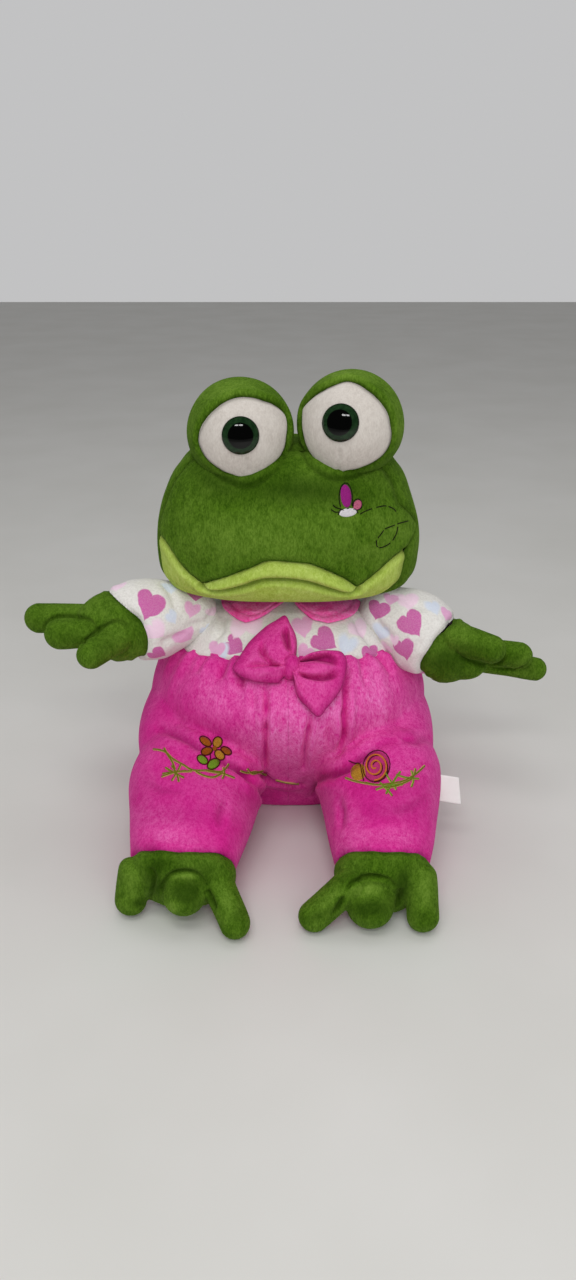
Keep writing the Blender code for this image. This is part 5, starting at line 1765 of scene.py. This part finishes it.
SLEEVE_CREASES = {
    "right": [
        (2.4, 1.8, [(214, 606), (206, 622), (209, 638)]),
        (2.6, 1.8, [(146, 646), (165, 641), (188, 632)]),
        (2.6, 1.4, [(160, 582), (172, 596), (176, 612)]),
    ],
    "left": [
        (2.6, 1.8, [(372, 612), (380, 626), (394, 640)]),
        (2.6, 1.6, [(400, 664), (408, 650), (422, 640)]),
        (2.6, 1.2, [(400, 596), (412, 606), (430, 610)]),
    ],
}
sleeve_shapes = {}
for name in SIDES:
    shape = laid_grid(140, 90, lay_sleeve(name), closed=True)
    facing_out(shape, ARMS[name][1] + ARMS[name][2] * 0.02)
    wrist, way, bend = WRISTS[name]
    bent_cut(shape, wrist, way, bend)
    marks = fold_marks(tree_of(shape), SLEEVE_CREASES[name], 0.35)
    cuff = cuff_mark(WRISTS[name], WRIST_RADIUS, 0.6 * MM, 9)
    sleeve_shapes[name] = sculpt(shape, marks, lumps=1.4 * MM, lump_scale=48, seed=12.0, extra=cuff)
print("top and sleeves laid")


# %% Placing the hearts
def print_places(shape, marks):
    """Hearts marked by pixel, moved to print coordinates on the cloth that the camera sees.
    A mark's angle is where the heart points in the picture: 0 is down, and 90 is right."""
    tree = tree_of(shape)
    layer = shape.loops.layers.uv["print"]
    shape.faces.ensure_lookup_table()

    def printed(pixel):
        point, _, index, _ = tree.ray_cast(CAMERA_PLACE, sight(pixel))
        if point is None:
            return None
        loops = shape.faces[index].loops
        weights = [1 / ((loop.vert.co - point).length + WELD) for loop in loops]
        total = Vector((0, 0))
        for loop, weight in zip(loops, weights):
            total += loop[layer].uv * weight
        return total / sum(weights)

    found = []
    reach = 4
    for (px, py), size, angle, kind in marks:
        way = (math.sin(math.radians(angle)), math.cos(math.radians(angle)))
        here = printed((px, py))
        there = printed((px + reach * way[0], py + reach * way[1]))
        if here is None or there is None:
            print("no cloth under", px, py)
            continue
        down = there - here
        turn = math.degrees(math.atan2(down.x, -down.y))
        found.append((here.x, here.y, size, -turn, kind))
    return found


YOKE_HEARTS = [
    ((325, 640), 18, 48, "deep"), ((303, 627), 15, 10, "pink"), ((347, 645), 14, -30, "blue"),
    ((234, 646), 15, 60, "deep"), ((371, 654), 13, -20, "deep"), ((238, 629), 13, -15, "pale"),
    ((254, 627), 14, 35, "pale"), ((305, 653), 12, -35, "pink"), ((222, 652), 11, 20, "blue"),
    ((358, 630), 14, 30, "pale"), ((216, 650), 12, -20, "pink"),
]
BACK_HEARTS = [
    (-0.060, 0.030, 16, 20, "deep"), (-0.042, 0.044, 13, -25, "blue"),
    (-0.024, 0.028, 14, 12, "pink"), (-0.006, 0.042, 16, -14, "deep"),
    (0.014, 0.029, 13, 28, "pale"), (0.032, 0.044, 14, 5, "blue"),
    (0.050, 0.030, 15, -30, "deep"), (0.068, 0.040, 14, 16, "pale"),
    (-0.026, 0.060, 14, 20, "pink"), (0.016, 0.060, 15, -10, "deep"),
    (-0.052, 0.062, 13, 5, "pale"), (-0.082, 0.042, 14, -12, "pink"),
    (0.086, 0.026, 14, 20, "pink"), (0.052, 0.058, 13, -20, "pink"),
]


def in_metres(hearts):
    return [(u, v, size * MM, turn, kind) for u, v, size, turn, kind in hearts]


yoke_hearts = in_metres(print_places(yoke_shapes["front"], YOKE_HEARTS))
yoke_hearts += in_metres([(x + PRINT_SHIFT, z, *rest) for x, z, *rest in BACK_HEARTS])
SLEEVE_HEARTS = {
    "right": [
        ((150, 604), 20, -28, "deep"), ((192, 610), 13, -20, "pink"),
        ((156, 634), 15, 25, "pale"), ((185, 634), 17, 50, "pink"), ((170, 587), 11, 5, "blue"),
        ((172, 617), 9, 30, "blue"), ((196, 594), 14, 0, "deep"), ((118, 586), 12, -25, "pale"),
        ((206, 630), 10, 15, "blue"), ((158, 655), 13, 80, "deep"), ((211, 612), 11, 40, "pale"),
    ],
    "left": [
        ((378, 610), 17, -15, "deep"), ((411, 624), 18, 40, "deep"), ((404, 650), 16, 20, "deep"),
        ((407, 601), 17, 15, "pale"), ((381, 632), 13, -18, "blue"), ((434, 607), 12, 24, "blue"),
        ((390, 599), 11, 0, "pink"), ((428, 665), 12, 10, "pink"), ((386, 648), 10, -40, "pale"),
        ((447, 614), 11, -10, "pink"), ((394, 640), 8, 0, "pale"),
    ],
}
HIDDEN_HEARTS = [
    (-0.060, 0.016, 15, 20, "deep"), (-0.040, 0.034, 13, -15, "blue"),
    (0.044, 0.018, 15, -25, "pink"), (0.062, 0.034, 16, 12, "deep"),
    (0.072, 0.012, 12, 0, "blue"), (-0.072, 0.046, 14, 30, "pink"),
    (-0.052, 0.056, 15, -10, "deep"), (0.052, 0.052, 15, 20, "pale"),
    (0.074, 0.054, 14, -15, "deep"), (-0.028, 0.014, 13, 10, "pink"),
    (0.030, 0.044, 13, -30, "pink"),
]
HEART_SPACING = 0.016

top_material = fleece_material("heart_fleece", yoke_hearts)
for half, shape in yoke_shapes.items():
    top = pile_piece(f"top_{half}_cloth", shape, top_material)
    stands_for(top, [f"yoke_{half}"])
    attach(top, "torso")

for name in SIDES:
    shape = sleeve_shapes[name]
    hearts = in_metres(print_places(shape, SLEEVE_HEARTS[name]))
    seen = [(u, v) for u, v, *_ in hearts]
    for u, v, size, turn, kind in in_metres(HIDDEN_HEARTS):
        if all(math.hypot(u - a, v - b) > HEART_SPACING for a, b in seen):
            hearts.append((u, v, size, turn, kind))
    material = fleece_material(f"sleeve_fleece_{name}", hearts)
    sleeve = pile_piece(f"sleeve_{name}_cloth", shape, material)
    stands_for(sleeve, [f"sleeve_{name}", f"arm_filling_{name}"])
    root, way = ARMS[name][1], ARMS[name][2]
    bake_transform(sleeve, "torso", f"arm_{name}", root - way * 0.012, root + way * 0.022)

# %% [markdown]
# ## Neck, collar and bow
# A small ball of pile closes the neck under the chin. The collar is two scalloped flaps of hot
# pink pile with a stitched rim. The bow is one strip folded to two loops and held by a knot;
# each loop is a fan with a tongue in its middle and a pocket on both sides of it.

# %% Neck and collar
NECK_PLACE, NECK_RADIUS = Vector((0, -0.008, 0.1760)), 0.0165
neck_shape = ball_mesh(NECK_PLACE, NECK_RADIUS)
neck = made_object("neck_cloth", sculpt(neck_shape, lumps=0.3 * MM), [GREEN_PILE])
stands_for(neck, ["neck_filling"])
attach(neck, "neck")

# The collar's top edge, and its end where its lower edge isn't seen, as polar shares.
COLLAR_TOP, COLLAR_END = 0.975, 0.94
COLLAR_START, COLLAR_SPAN = math.radians(2), math.radians(80)
COLLAR_FLOOR, COLLAR_WALL = 0.8 * MM, 3.4 * MM
# The stitched rim: its share of the way down, its width and its depth.
RIM_SHARE, RIM_BREADTH, RIM_DEPTH = 0.84, 0.035, 0.9 * MM
TORSO_TREE = tree_of(form_mesh(TORSO, 96, 64))
COLLAR_EDGES = {
    "right": [
        *[(287, 601), (282.5, 605.5), (272.4, 612), (259.4, 620.8), (246.5, 624.5)],
        *[(238, 621.5), (232.6, 617.6), (226, 612), (222, 603)],
    ],
    "left": [
        *[(291, 601), (294, 604), (303, 614), (313, 621.3), (327, 625.4), (342.7, 621.7)],
        *[(350, 618.5), (355, 614), (359, 605)],
    ],
}


def collar_edge(name):
    """The flap's lower edge as a polar share for each angle out from the middle."""
    azimuth, polar = TORSO.front_angles(landed_line(TORSO_TREE, COLLAR_EDGES[name]))
    out = np.abs(azimuth + math.pi / 2)
    order = np.argsort(out)
    return out[order], polar[order]


def lay_collar(name):
    """A closed flap: v runs down its front and up its back, u from the middle outwards."""
    side = SIDES[name]
    edge = collar_edge(name)

    def lay(u, v):
        around = v * math.tau
        down = 0.5 - 0.5 * np.cos(around)
        front = np.sin(around)
        out = COLLAR_START + (COLLAR_SPAN - COLLAR_START) * u
        low = np.where(out < edge[0][-1], np.interp(out, *edge), COLLAR_END)
        azimuth = -math.pi / 2 + side * out
        polar = COLLAR_TOP + (low - COLLAR_TOP) * down
        surface, step = TORSO.points(azimuth, polar), 0.003
        right = TORSO.points(azimuth + step, polar) - TORSO.points(azimuth - step, polar)
        up = TORSO.points(azimuth, polar + step) - TORSO.points(azimuth, polar - step)
        normal = np.cross(right, up)
        normal /= lengths(normal)[:, None]
        ends = np.clip(u * (1 - u) * 30, 0.15, 1) ** 0.5
        height = COLLAR_FLOOR + COLLAR_WALL * ends * (0.5 + 0.5 * signed_power(front, 0.5))
        stitched = hill(down - RIM_SHARE, RIM_BREADTH) * (front > 0)
        return surface + normal * (height - RIM_DEPTH * stitched)[:, None]

    return lay


for name in SIDES:
    shape = laid_grid(90, 80, lay_collar(name), closed=True)
    sculpt(shape, [], lumps=0.7 * MM, lump_scale=110, seed=13.0)
    collar = made_object(f"collar_{name}_flap", shape, [COLLAR_PILE])
    stands_for(collar, [f"collar_{name}"])
    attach(collar, "torso")

# %% The bow
BOW_KNOT_PIXEL = (291, 670.5)
BOW_LIFT = 4.5 * MM
bow_point, bow_out = landed(TORSO_TREE, BOW_KNOT_PIXEL)
BOW_CENTRE = bow_point + bow_out * BOW_LIFT
# How far a loop stands out in front and behind, how thick its rim is, and how low it may go.
LOOP_FRONT, LOOP_BEHIND, LOOP_RIM = 7.5 * MM, -2.0 * MM, 0.8 * MM
FRONT_FLOOR, BEHIND_FLOOR = -0.6 * MM, -2.2 * MM
VALLEY_START, VALLEY_STOP = 0.14, 0.16
# The loops' painted shading: the height at which it is nil, with shade below and light above, the height
# over which it grows, and its limits of painted light and painted shade.
LOOP_TOP, LOOP_DEPTH, LOOP_MOST_LIGHT, LOOP_MOST_SHADE = 4.6 * MM, 5.0 * MM, -0.3, 0.9
KNOT_LIFT, KNOT_WAY, KNOT_SIZE = 2.5 * MM, (0.12, 0, 1), (0.0066, 0.0072, 0.0092)
# Each valley is (place along the edge, slope, width, depth in mm, inner end, outer end), and
# each ridge is (place along the edge, width, height in mm).
WINGS = {
    "right": {
        "edge": [
            *[(296.5, 658), (297, 648), (296.5, 639), (294, 631), (290.5, 624), (285, 614.5)],
            *[(275, 620.5), (262, 629), (248, 643), (238, 658), (231.5, 669)],
            *[(240, 676.5), (252, 681.5), (266, 683.5), (279, 683.5)],
        ],
        "valleys": [
            (0.290, 0.0, 0.040, 8.5, 0.24, 0.74),
            (0.610, -0.36, 0.030, 6.0, 0.20, 0.80),
            (0.712, 0.0, 0.022, 3.6, 0.12, 0.80),
        ],
        "ridges": [(0.10, 0.06, 1.5), (0.33, 0.05, 1.6), (0.63, 0.05, 1.0), (0.84, 0.07, 1.6)],
    },
    "left": {
        "edge": [
            *[(297, 680), (295, 687), (298.5, 698), (307.5, 708.5), (318.5, 717.5), (326, 710)],
            *[(332.5, 702.5), (341.5, 689), (346, 675), (347.5, 663), (344.5, 654.5)],
            *[(339.5, 651), (326, 650.5), (313, 653.5), (303.5, 659)],
        ],
        "valleys": [
            (0.480, 0.32, 0.030, 7.5, 0.16, 0.90),
            (0.760, -0.22, 0.048, 9.5, 0.14, 0.86),
            (0.250, 0.0, 0.050, 1.4, 0.30, 0.80),
        ],
        "ridges": [(0.12, 0.07, 1.6), (0.44, 0.06, 1.0), (0.635, 0.035, 2.0), (0.86, 0.07, 1.8)],
    },
}


def on_bow_plane(pixels):
    """Where lines of sight meet the bow's plane."""
    points = []
    for pixel in pixels:
        way = sight(pixel)
        reach = (BOW_CENTRE - CAMERA_PLACE).dot(bow_out) / way.dot(bow_out)
        points.append(CAMERA_PLACE + way * reach)
    return np.array(points)


def wing_folds(wing, place, share):
    """Valleys and ridges that radiate from the knot, by place along the wing's edge."""
    height = np.zeros(len(place))
    along = np.sin(math.pi * share**0.7)
    for middle, width, rise in wing["ridges"]:
        height += rise * MM * hill(place - middle, width) * along
    for middle, slope, width, depth, low, high in wing["valleys"]:
        begun = np.clip((share - low) / VALLEY_START, 0, 1)
        reach = begun * np.clip((high - share) / VALLEY_STOP, 0, 1)
        wide = width * (1.0 + 0.5 * (1 - share))
        off = place - middle - slope * (share - 0.5)
        height -= depth * MM * reach * hill(off, wide)
    return height


def lay_wing(wing):
    """A closed loop: u runs along its edge, v from the knot out on its back and in on its front."""
    edge = on_bow_plane(curved(wing["edge"], 4))
    centre, out = np.array(BOW_CENTRE), np.array(bow_out)
    place = run_along(edge) / run_along(edge)[-1]

    def lay(u, v):
        around = v * 2 - 1
        share = 1 - np.abs(around)
        front = around > 0
        rim = np.stack([np.interp(u, place, edge[:, axis]) for axis in range(3)], axis=1)
        flat = centre + (rim - centre) * share[:, None]
        side = np.clip(1 - np.abs(2 * u - 1) ** 6, 0, 1) ** 0.5
        tip = np.clip(1 - share**7, 0, 1) ** 0.5
        thick = side * tip * (0.4 + 0.6 * np.sin(math.pi * np.clip(share, 0.2, 1) ** 0.9))
        height = np.where(front, LOOP_FRONT * thick + LOOP_RIM * tip, LOOP_BEHIND * thick)
        height += np.where(front, wing_folds(wing, u, share) * tip, 0)
        lowest = np.where(front, FRONT_FLOOR, BEHIND_FLOOR)
        return flat + out * np.maximum(height, lowest)[:, None]

    return lay


for name, wing in WINGS.items():
    shape = laid_grid(160, 120, lay_wing(wing), closed=True)
    smooth_mesh(shape, 2)
    sculpt(shape, [], lumps=0.5 * MM, lump_scale=90, seed=14.0)
    # Painted shade in the loop's valleys, and painted light on its tops.
    hollow = shape.verts.layers.float["hollow"]
    for vertex in shape.verts:
        rise = (vertex.co - BOW_CENTRE).dot(bow_out)
        vertex[hollow] = min(max((LOOP_TOP - rise) / LOOP_DEPTH, LOOP_MOST_LIGHT), LOOP_MOST_SHADE)
    loop = made_object(f"bow_{name}_loop", shape, [BOW_PILE])
    stands_for(loop, [f"bow_wing_{name}"])
    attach(loop, "torso")

knot_shape = oval_mesh(aimed(BOW_CENTRE + bow_out * KNOT_LIFT, KNOT_WAY, bow_out), KNOT_SIZE)
sculpt(knot_shape, lumps=0.6 * MM, lump_scale=160)
knot = made_object("bow_knot_cloth", knot_shape, [BOW_PILE])
stands_for(knot, ["bow_knot"])
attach(knot, "torso")

# %% [markdown]
# ## Embroidery
# A motif is satin stitch: bundles of thread laid side by side, so a patch stands a little proud
# and has fine ridges along the stitches. Outlines and stems are twisted cords of thread. Each
# patch is drawn as the camera sees it and laid on the cloth under it.

# %% Patches and cords of thread
THREAD_RISE = 0.5 * MM
# The last rows of a patch turn down into the cloth. A pixel on the cloth is this long.
PATCH_OVERRUN, PATCH_UNDER, PIXEL_SIZE = 1.15, -0.6, 0.6 * MM
DARK_CORD, SPIRAL_CORD, STEM_CORD, STEM_LINE = 0.34 * MM, 0.62 * MM, 0.85 * MM, 0.56 * MM
PETAL_CORD, SHELL_CORD = 0.42 * MM, 0.36 * MM


def patch_shape(tree, centre, half, turn=0.0, stitch=0.0, rise=1.0):
    """An oval patch in pixels, laid on the cloth. Its stitches run at their own angle."""
    angle, stitch = math.radians(turn), math.radians(stitch)

    def lay(u, v):
        points, printed = [], []
        for share, around in zip(v * PATCH_OVERRUN, u * math.tau):
            x, y = half[0] * math.cos(around), half[1] * math.sin(around)
            reach = min(share, 1.0)
            right, down = rotated(reach * x, reach * y, angle)
            point, normal = landed(tree, (centre[0] + right, centre[1] + down))
            drop = 1.0 if share <= 1 else PATCH_UNDER
            height = THREAD_RISE * rise * drop * (1 - 0.6 * reach**4)
            points.append(tuple(point + normal * height))
            printed.append(rotated(right, down, -stitch))
        return np.array(points), np.array(printed) * PIXEL_SIZE

    shape = laid_grid(28, 9, lay, closed=True)
    return facing_out(shape, Vector((0, 0, 0.1)))


def cord_points(tree, pixels, lift):
    """A cord's middle line, 0.6 of a lift over the cloth."""
    found = [landed(tree, pixel) for pixel in pixels]
    return [point + normal * lift * 0.6 for point, normal in found]


def cord_mesh(strokes, radius):
    """Round cords through lists of points, as one mesh."""
    curve = bpy.data.curves.new("thread", "CURVE")
    curve.dimensions = "3D"
    curve.bevel_depth = radius
    curve.bevel_resolution = 2
    curve.use_fill_caps = True
    for points in strokes:
        spline = curve.splines.new("POLY")
        spline.points.add(len(points) - 1)
        for place, point in zip(spline.points, points):
            place.co = (*point, 1.0)
    obj = linked("thread", curve)
    graph = bpy.context.evaluated_depsgraph_get()
    mesh = bpy.data.meshes.new_from_object(obj.evaluated_get(graph))
    bpy.data.objects.remove(obj)
    shape = bmesh.new()
    shape.from_mesh(mesh)
    bpy.data.meshes.remove(mesh)
    layer = shape.loops.layers.uv.get("print") or shape.loops.layers.uv.new("print")
    for face_part in shape.faces:
        for loop in face_part.loops:
            loop[layer].uv = (loop.vert.co.x, loop.vert.co.z)
    return shape


def joined_shapes(name, parts):
    """Shapes, each with the name of its thread, as one object."""
    whole = bmesh.new()
    threads = []
    for shape, thread in parts:
        if thread not in threads:
            threads.append(thread)
        for face_part in shape.faces:
            face_part.material_index = threads.index(thread)
        add_part(whole, shape)
    return made_object(name, whole, [THREADS[thread] for thread in threads])


# %% The butterfly on the cheek
FACE_TREE = BVHTree.FromObject(face, bpy.context.evaluated_depsgraph_get())
butterfly_parts = [
    (patch_shape(FACE_TREE, (346, 496), (5.6, 12.0), -6, stitch=10), "magenta"),
    (patch_shape(FACE_TREE, (357.5, 505), (4.2, 5.6), 28, stitch=40), "rose"),
    (patch_shape(FACE_TREE, (348, 512.5), (9.2, 4.4), -8, stitch=80, rise=1.3), "white"),
]
dark_strokes = [
    [(340.5, 507), (339, 497), (341, 487), (345.5, 483), (349.5, 486), (352, 494), (352, 506)],
    [(353, 507), (354, 501), (358, 499), (361.5, 502), (361, 508), (356, 510.5)],
    [(338, 515), (341, 509.5), (345, 511), (348, 508.5), (351, 511), (355, 509), (358, 513)],
    [(339, 512), (335, 512), (331, 509.5)],
    [(341, 509), (336, 507.5), (333, 505)],
    [(347, 510), (347.5, 516)],
]
FLIGHT = [(360, 514), (368, 510), (380, 506.5), (386, 506), (393, 508.5), (396.5, 512.5)]
LOOP = [(408, 521), (400, 523), (392, 526), (385, 529), (381, 534), (376.6, 540), (377, 546)]
LOOP += [(381, 547.5), (390, 543), (396, 534), (398, 524)]


def dashes(pixels, on=9, off=2):
    """Cuts a smooth line to running stitches."""
    points = curved(pixels, 6)
    return [points[start : start + on] for start in range(0, len(points) - on, on + off - 1)]


lines = [curved(line) for line in dark_strokes] + dashes(FLIGHT) + dashes(LOOP)
strokes = [cord_points(FACE_TREE, line, 0.35 * MM) for line in lines]
butterfly_parts.append((cord_mesh(strokes, DARK_CORD), "dark"))
butterfly = joined_shapes("butterfly_stitches", butterfly_parts)
stands_for(butterfly, ["butterfly_embroidery"])
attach(butterfly, "head")

# %% The flower over the right thigh
FLOWER_CENTRE = (214.5, 748.5)
PETALS = [
    ((205.5, 741.5), (6.4, 3.5), 38, "brown"), ((217.5, 742.3), (5.6, 4.2), -68, "ochre"),
    ((206.8, 751.2), (5.4, 3.6), -18, "brown"), ((226.0, 751.0), (5.4, 3.2), 30, "brown"),
    ((219.6, 755.0), (5.4, 4.0), 48, "ochre"), ((202.5, 759.8), (5.6, 3.6), 36, "leaf"),
    ((213.5, 764.0), (6.6, 4.3), -34, "leaf"),
]


def ring(centre, half, turn):
    """The pixels round an oval patch, for its outline."""
    around, spare = np.linspace(0, math.tau, 19), 0.4
    x, y = (half[0] + spare) * np.cos(around), (half[1] + spare) * np.sin(around)
    across, down = rotated(x, y, math.radians(turn))
    return list(zip(centre[0] + across, centre[1] + down))


flower_parts = [
    (patch_shape(TROUSER_TREE, centre, half, turn, stitch=turn), thread)
    for centre, half, turn, thread in PETALS
]
flower_parts.append((patch_shape(TROUSER_TREE, FLOWER_CENTRE, (2.6, 2.6), rise=1.8), "brown"))
flower_dark = [ring(*petal[:3]) for petal in PETALS]
flower_dark.append([(210, 753), (210.5, 758), (208, 764)])
TWIGS = [
    [(154, 749.5), (161, 750.5), (167, 753), (173, 759), (184, 765.5), (193, 770.5), (207, 770.5)],
    [(207, 770.5), (220, 772), (225, 769), (228.5, 764)],
    [(164.5, 748.5), (168, 755), (172.5, 762), (175, 769)],
    [(163, 774), (170, 773), (179, 772), (192, 771.5)],
    [(196, 772), (204, 776), (213, 777.5), (221, 774)],
    [(206, 771), (214, 772.5), (223, 774), (234, 778)],
]
GRASS = [
    [(166, 768), (174, 773), (184, 778)], [(181, 765), (177, 773), (172, 781)],
    [(172, 766), (177, 774), (179, 782)], [(162, 777), (174, 773), (186, 771)],
    [(223, 768), (224, 774), (222, 779)], [(240, 771), (247, 773), (256, 772), (266, 774.5)],
    [(247, 769), (252, 774), (262, 771)], [(276, 779.5), (286, 782), (299, 783.5)],
]


def double_cords(tree, lines, thread):
    """Stitched stems: a pale wide cord with a narrower coloured one on it."""
    low_lines = [cord_points(tree, curved(line), 0.5 * MM) for line in lines]
    high_lines = [cord_points(tree, curved(line), 1.3 * MM) for line in lines]
    return [(cord_mesh(low_lines, STEM_CORD), "straw"), (cord_mesh(high_lines, STEM_LINE), thread)]


dark_lines = [cord_points(TROUSER_TREE, line, 0.6 * MM) for line in flower_dark]
flower_parts.append((cord_mesh(dark_lines, PETAL_CORD), "umber"))
flower_parts += double_cords(TROUSER_TREE, TWIGS, "olive")
flower_parts += double_cords(TROUSER_TREE, GRASS, "olive")
flower = joined_shapes("flower_stitches", flower_parts)
stands_for(flower, ["flower_embroidery"])
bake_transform(flower, "torso", "leg_right", *HIP_BLEND["right"])

# %% The snail on the left thigh
SHELL = (376.5, 766.5)
# The spiral on the shell, in pixels and in turns: its middle, its radii, its height's share.
SPIRAL_MIDDLE, SPIRAL_RADII, SPIRAL_TALL = (SHELL[0] - 1.5, SHELL[1]), (1.6, 10.8), 1.16
SPIRAL_STEPS, SPIRAL_TURNS = 59, 2.1
snail_parts = [
    (patch_shape(TROUSER_TREE, (358.5, 772), (8.0, 9.0), 30, stitch=60), "ochre"),
    (patch_shape(TROUSER_TREE, SHELL, (12.6, 15.4), 14, stitch=30, rise=1.5), "shell"),
]
spiral = []
for step in range(SPIRAL_STEPS + 1):
    turn = math.tau * SPIRAL_TURNS * step / SPIRAL_STEPS + 1.0
    radius = SPIRAL_RADII[0] + SPIRAL_RADII[1] * step / SPIRAL_STEPS
    x, y = radius * math.cos(turn), SPIRAL_TALL * radius * math.sin(turn)
    spiral.append((SPIRAL_MIDDLE[0] + x, SPIRAL_MIDDLE[1] + y))
inner = [(x + 1.5, y + 0.9) for x, y in spiral[12:]]
body_line = [(349, 761), (355, 763.5), (360, 764), (362, 772), (364, 781)]
foot_line = [(346, 778), (354, 781), (363, 783), (374, 785)]
shell_dark = [ring(SHELL, (12.8, 15.6), 14), inner, curved(body_line)]
orange_lines = [cord_points(TROUSER_TREE, spiral, 1.4 * MM)]
dark_lines = [cord_points(TROUSER_TREE, line, 1.2 * MM) for line in shell_dark]
snail_parts.append((cord_mesh(orange_lines, SPIRAL_CORD), "orange"))
snail_parts.append((cord_mesh(dark_lines, SHELL_CORD), "umber"))
SNAIL_TWIGS = [
    foot_line,
    [(366, 783), (376, 785), (387, 784.5), (396, 783), (405, 780.5), (416, 773.5), (424, 766)],
    [(384, 788), (394, 787), (404, 783), (412, 778), (415, 769)],
]
SNAIL_GRASS = [
    [(385, 773), (390, 781), (396, 790)], [(400, 772), (393, 782), (386, 794)],
    [(396, 775), (406, 778), (418, 779)], [(376, 790), (388, 786), (402, 785)],
    [(380, 783), (387, 790), (392, 796)], [(411, 771), (413, 780), (411, 787)],
]
snail_parts += double_cords(TROUSER_TREE, SNAIL_TWIGS, "olive")
snail_parts += double_cords(TROUSER_TREE, SNAIL_GRASS, "leaf")
snail = joined_shapes("snail_stitches", snail_parts)
stands_for(snail, ["snail_embroidery"])
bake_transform(snail, "torso", "leg_left", *HIP_BLEND["left"])

# %% [markdown]
# ## The care label
# A small folded piece of satin ribbon, sewn into the outer seam of the left leg. It is bare
# here. It is one thin sheet with a slight curl.

# %% The label
low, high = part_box("care_label")
LABEL_CURL, LABEL_WALL = 1.6 * MM, 0.3 * MM
LABEL_SIZE = (0.0188, 0.0226)
LABEL_CORNERS = [(435.5, 774.5), (459, 778.5), (461, 804.2), (435.5, 800.3)]
label_y = (low.y + high.y) / 2
ways = [np.array(sight(pixel)) for pixel in LABEL_CORNERS]
corners = [np.array(CAMERA_PLACE) + way * (label_y - CAMERA_PLACE.y) / way[1] for way in ways]
sides = [np.linalg.norm(corners[number] - corners[number - 1]) for number in range(4)]
print("label sides", np.round(sides, 4))


def lay_label(u, v):
    top = corners[0] + (corners[1] - corners[0]) * u[:, None]
    bottom = corners[3] + (corners[2] - corners[3]) * u[:, None]
    points = bottom + (top - bottom) * v[:, None]
    points[:, 1] += LABEL_CURL * np.sin(u * 2.2) * (v - 0.3)
    return points, np.stack([u * LABEL_SIZE[0], v * LABEL_SIZE[1]], axis=1)


label_shape = laid_grid(24, 24, lay_label)
label = walled(made_object("label_ribbon", label_shape, [LABEL_SATIN]), LABEL_WALL)
stands_for(label, ["care_label"])
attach(label, "leg_left")

# %% [markdown]
# ## Light and floor
# The toy sits on a plain pale floor. Three large soft lamps stand in for a bright room. Two
# small windows are the only lamps that are mirrored, and they make the glints on the eyes. The
# world is a pale wall to the camera, and gives less than that as light.

# %% Floor, lamps and world
floor_shape = bmesh.new()
bmesh.ops.create_grid(floor_shape, x_segments=1, y_segments=1, size=4.0)
floor_material, floor_tree, floor_shader = new_material("pale_floor")
floor_noise = noise_value(floor_tree, object_place(floor_tree), 6.0, 3.0)
floor_tone = ranged(floor_tree, floor_noise, 0.3, 0.7)
floor_colour = mixed(floor_tree, floor_tone, rgb(214, 213, 208), rgb(220, 219, 215))
fed(floor_tree, floor_shader, {"Base Color": floor_colour, "Roughness": 0.6})
floor = made_object("floor", floor_shape, [floor_material])

WALL_LIGHT, WALL_MIRRORED = (0.39, 0.39, 0.395, 1), (0.06, 0.06, 0.06, 1)
WALL_SEEN = (0.54, 0.54, 0.545, 1)
world = bpy.data.worlds.new("studio")
bpy.context.scene.world = world
world.use_nodes = True
world_tree = world.node_tree
ray = node(world_tree, "LightPath").outputs
around = mixed(world_tree, ray["Is Glossy Ray"], WALL_LIGHT, WALL_MIRRORED)
wall = mixed(world_tree, ray["Is Camera Ray"], around, WALL_SEEN)
fed(world_tree, world_tree.nodes["Background"], {"Color": wall})


# Each lamp's place, the place that it points at, its size and its power in watts.
LAMPS = {
    "key_lamp": ((-0.20, -0.70, 1.6), (0, -0.05, 0.15), (0.9, 0.5), 5.7),
    "fill_lamp": ((0.35, -1.5, 0.75), (0, -0.05, 0.15), (1.0, 0.8), 6.2),
    "top_lamp": ((0.1, 0.3, 1.6), (0, 0, 0.1), (1.2, 0.8), 3.0),
    "left_window": ((-0.21, -1.02, 1.04), (0, -0.07, 0.3), (0.22, 0.10), 1.5),
    "right_window": ((0.06, -1.02, 1.04), (0, -0.07, 0.3), (0.22, 0.10), 1.5),
}
MIRRORED = ("left_window", "right_window")


def soft_lamp(name, place, aim, size, power):
    data = bpy.data.lights.new(name, "AREA")
    data.shape = "RECTANGLE"
    data.size, data.size_y = size
    data.energy = power
    lamp = linked(name, data)
    lamp.location = place
    lamp.visible_glossy = name in MIRRORED
    lamp.rotation_euler = (Vector(aim) - Vector(place)).to_track_quat("-Z", "Y").to_euler()


for name, facts in LAMPS.items():
    soft_lamp(name, *facts)

bpy.context.scene.view_settings.view_transform = "Standard"
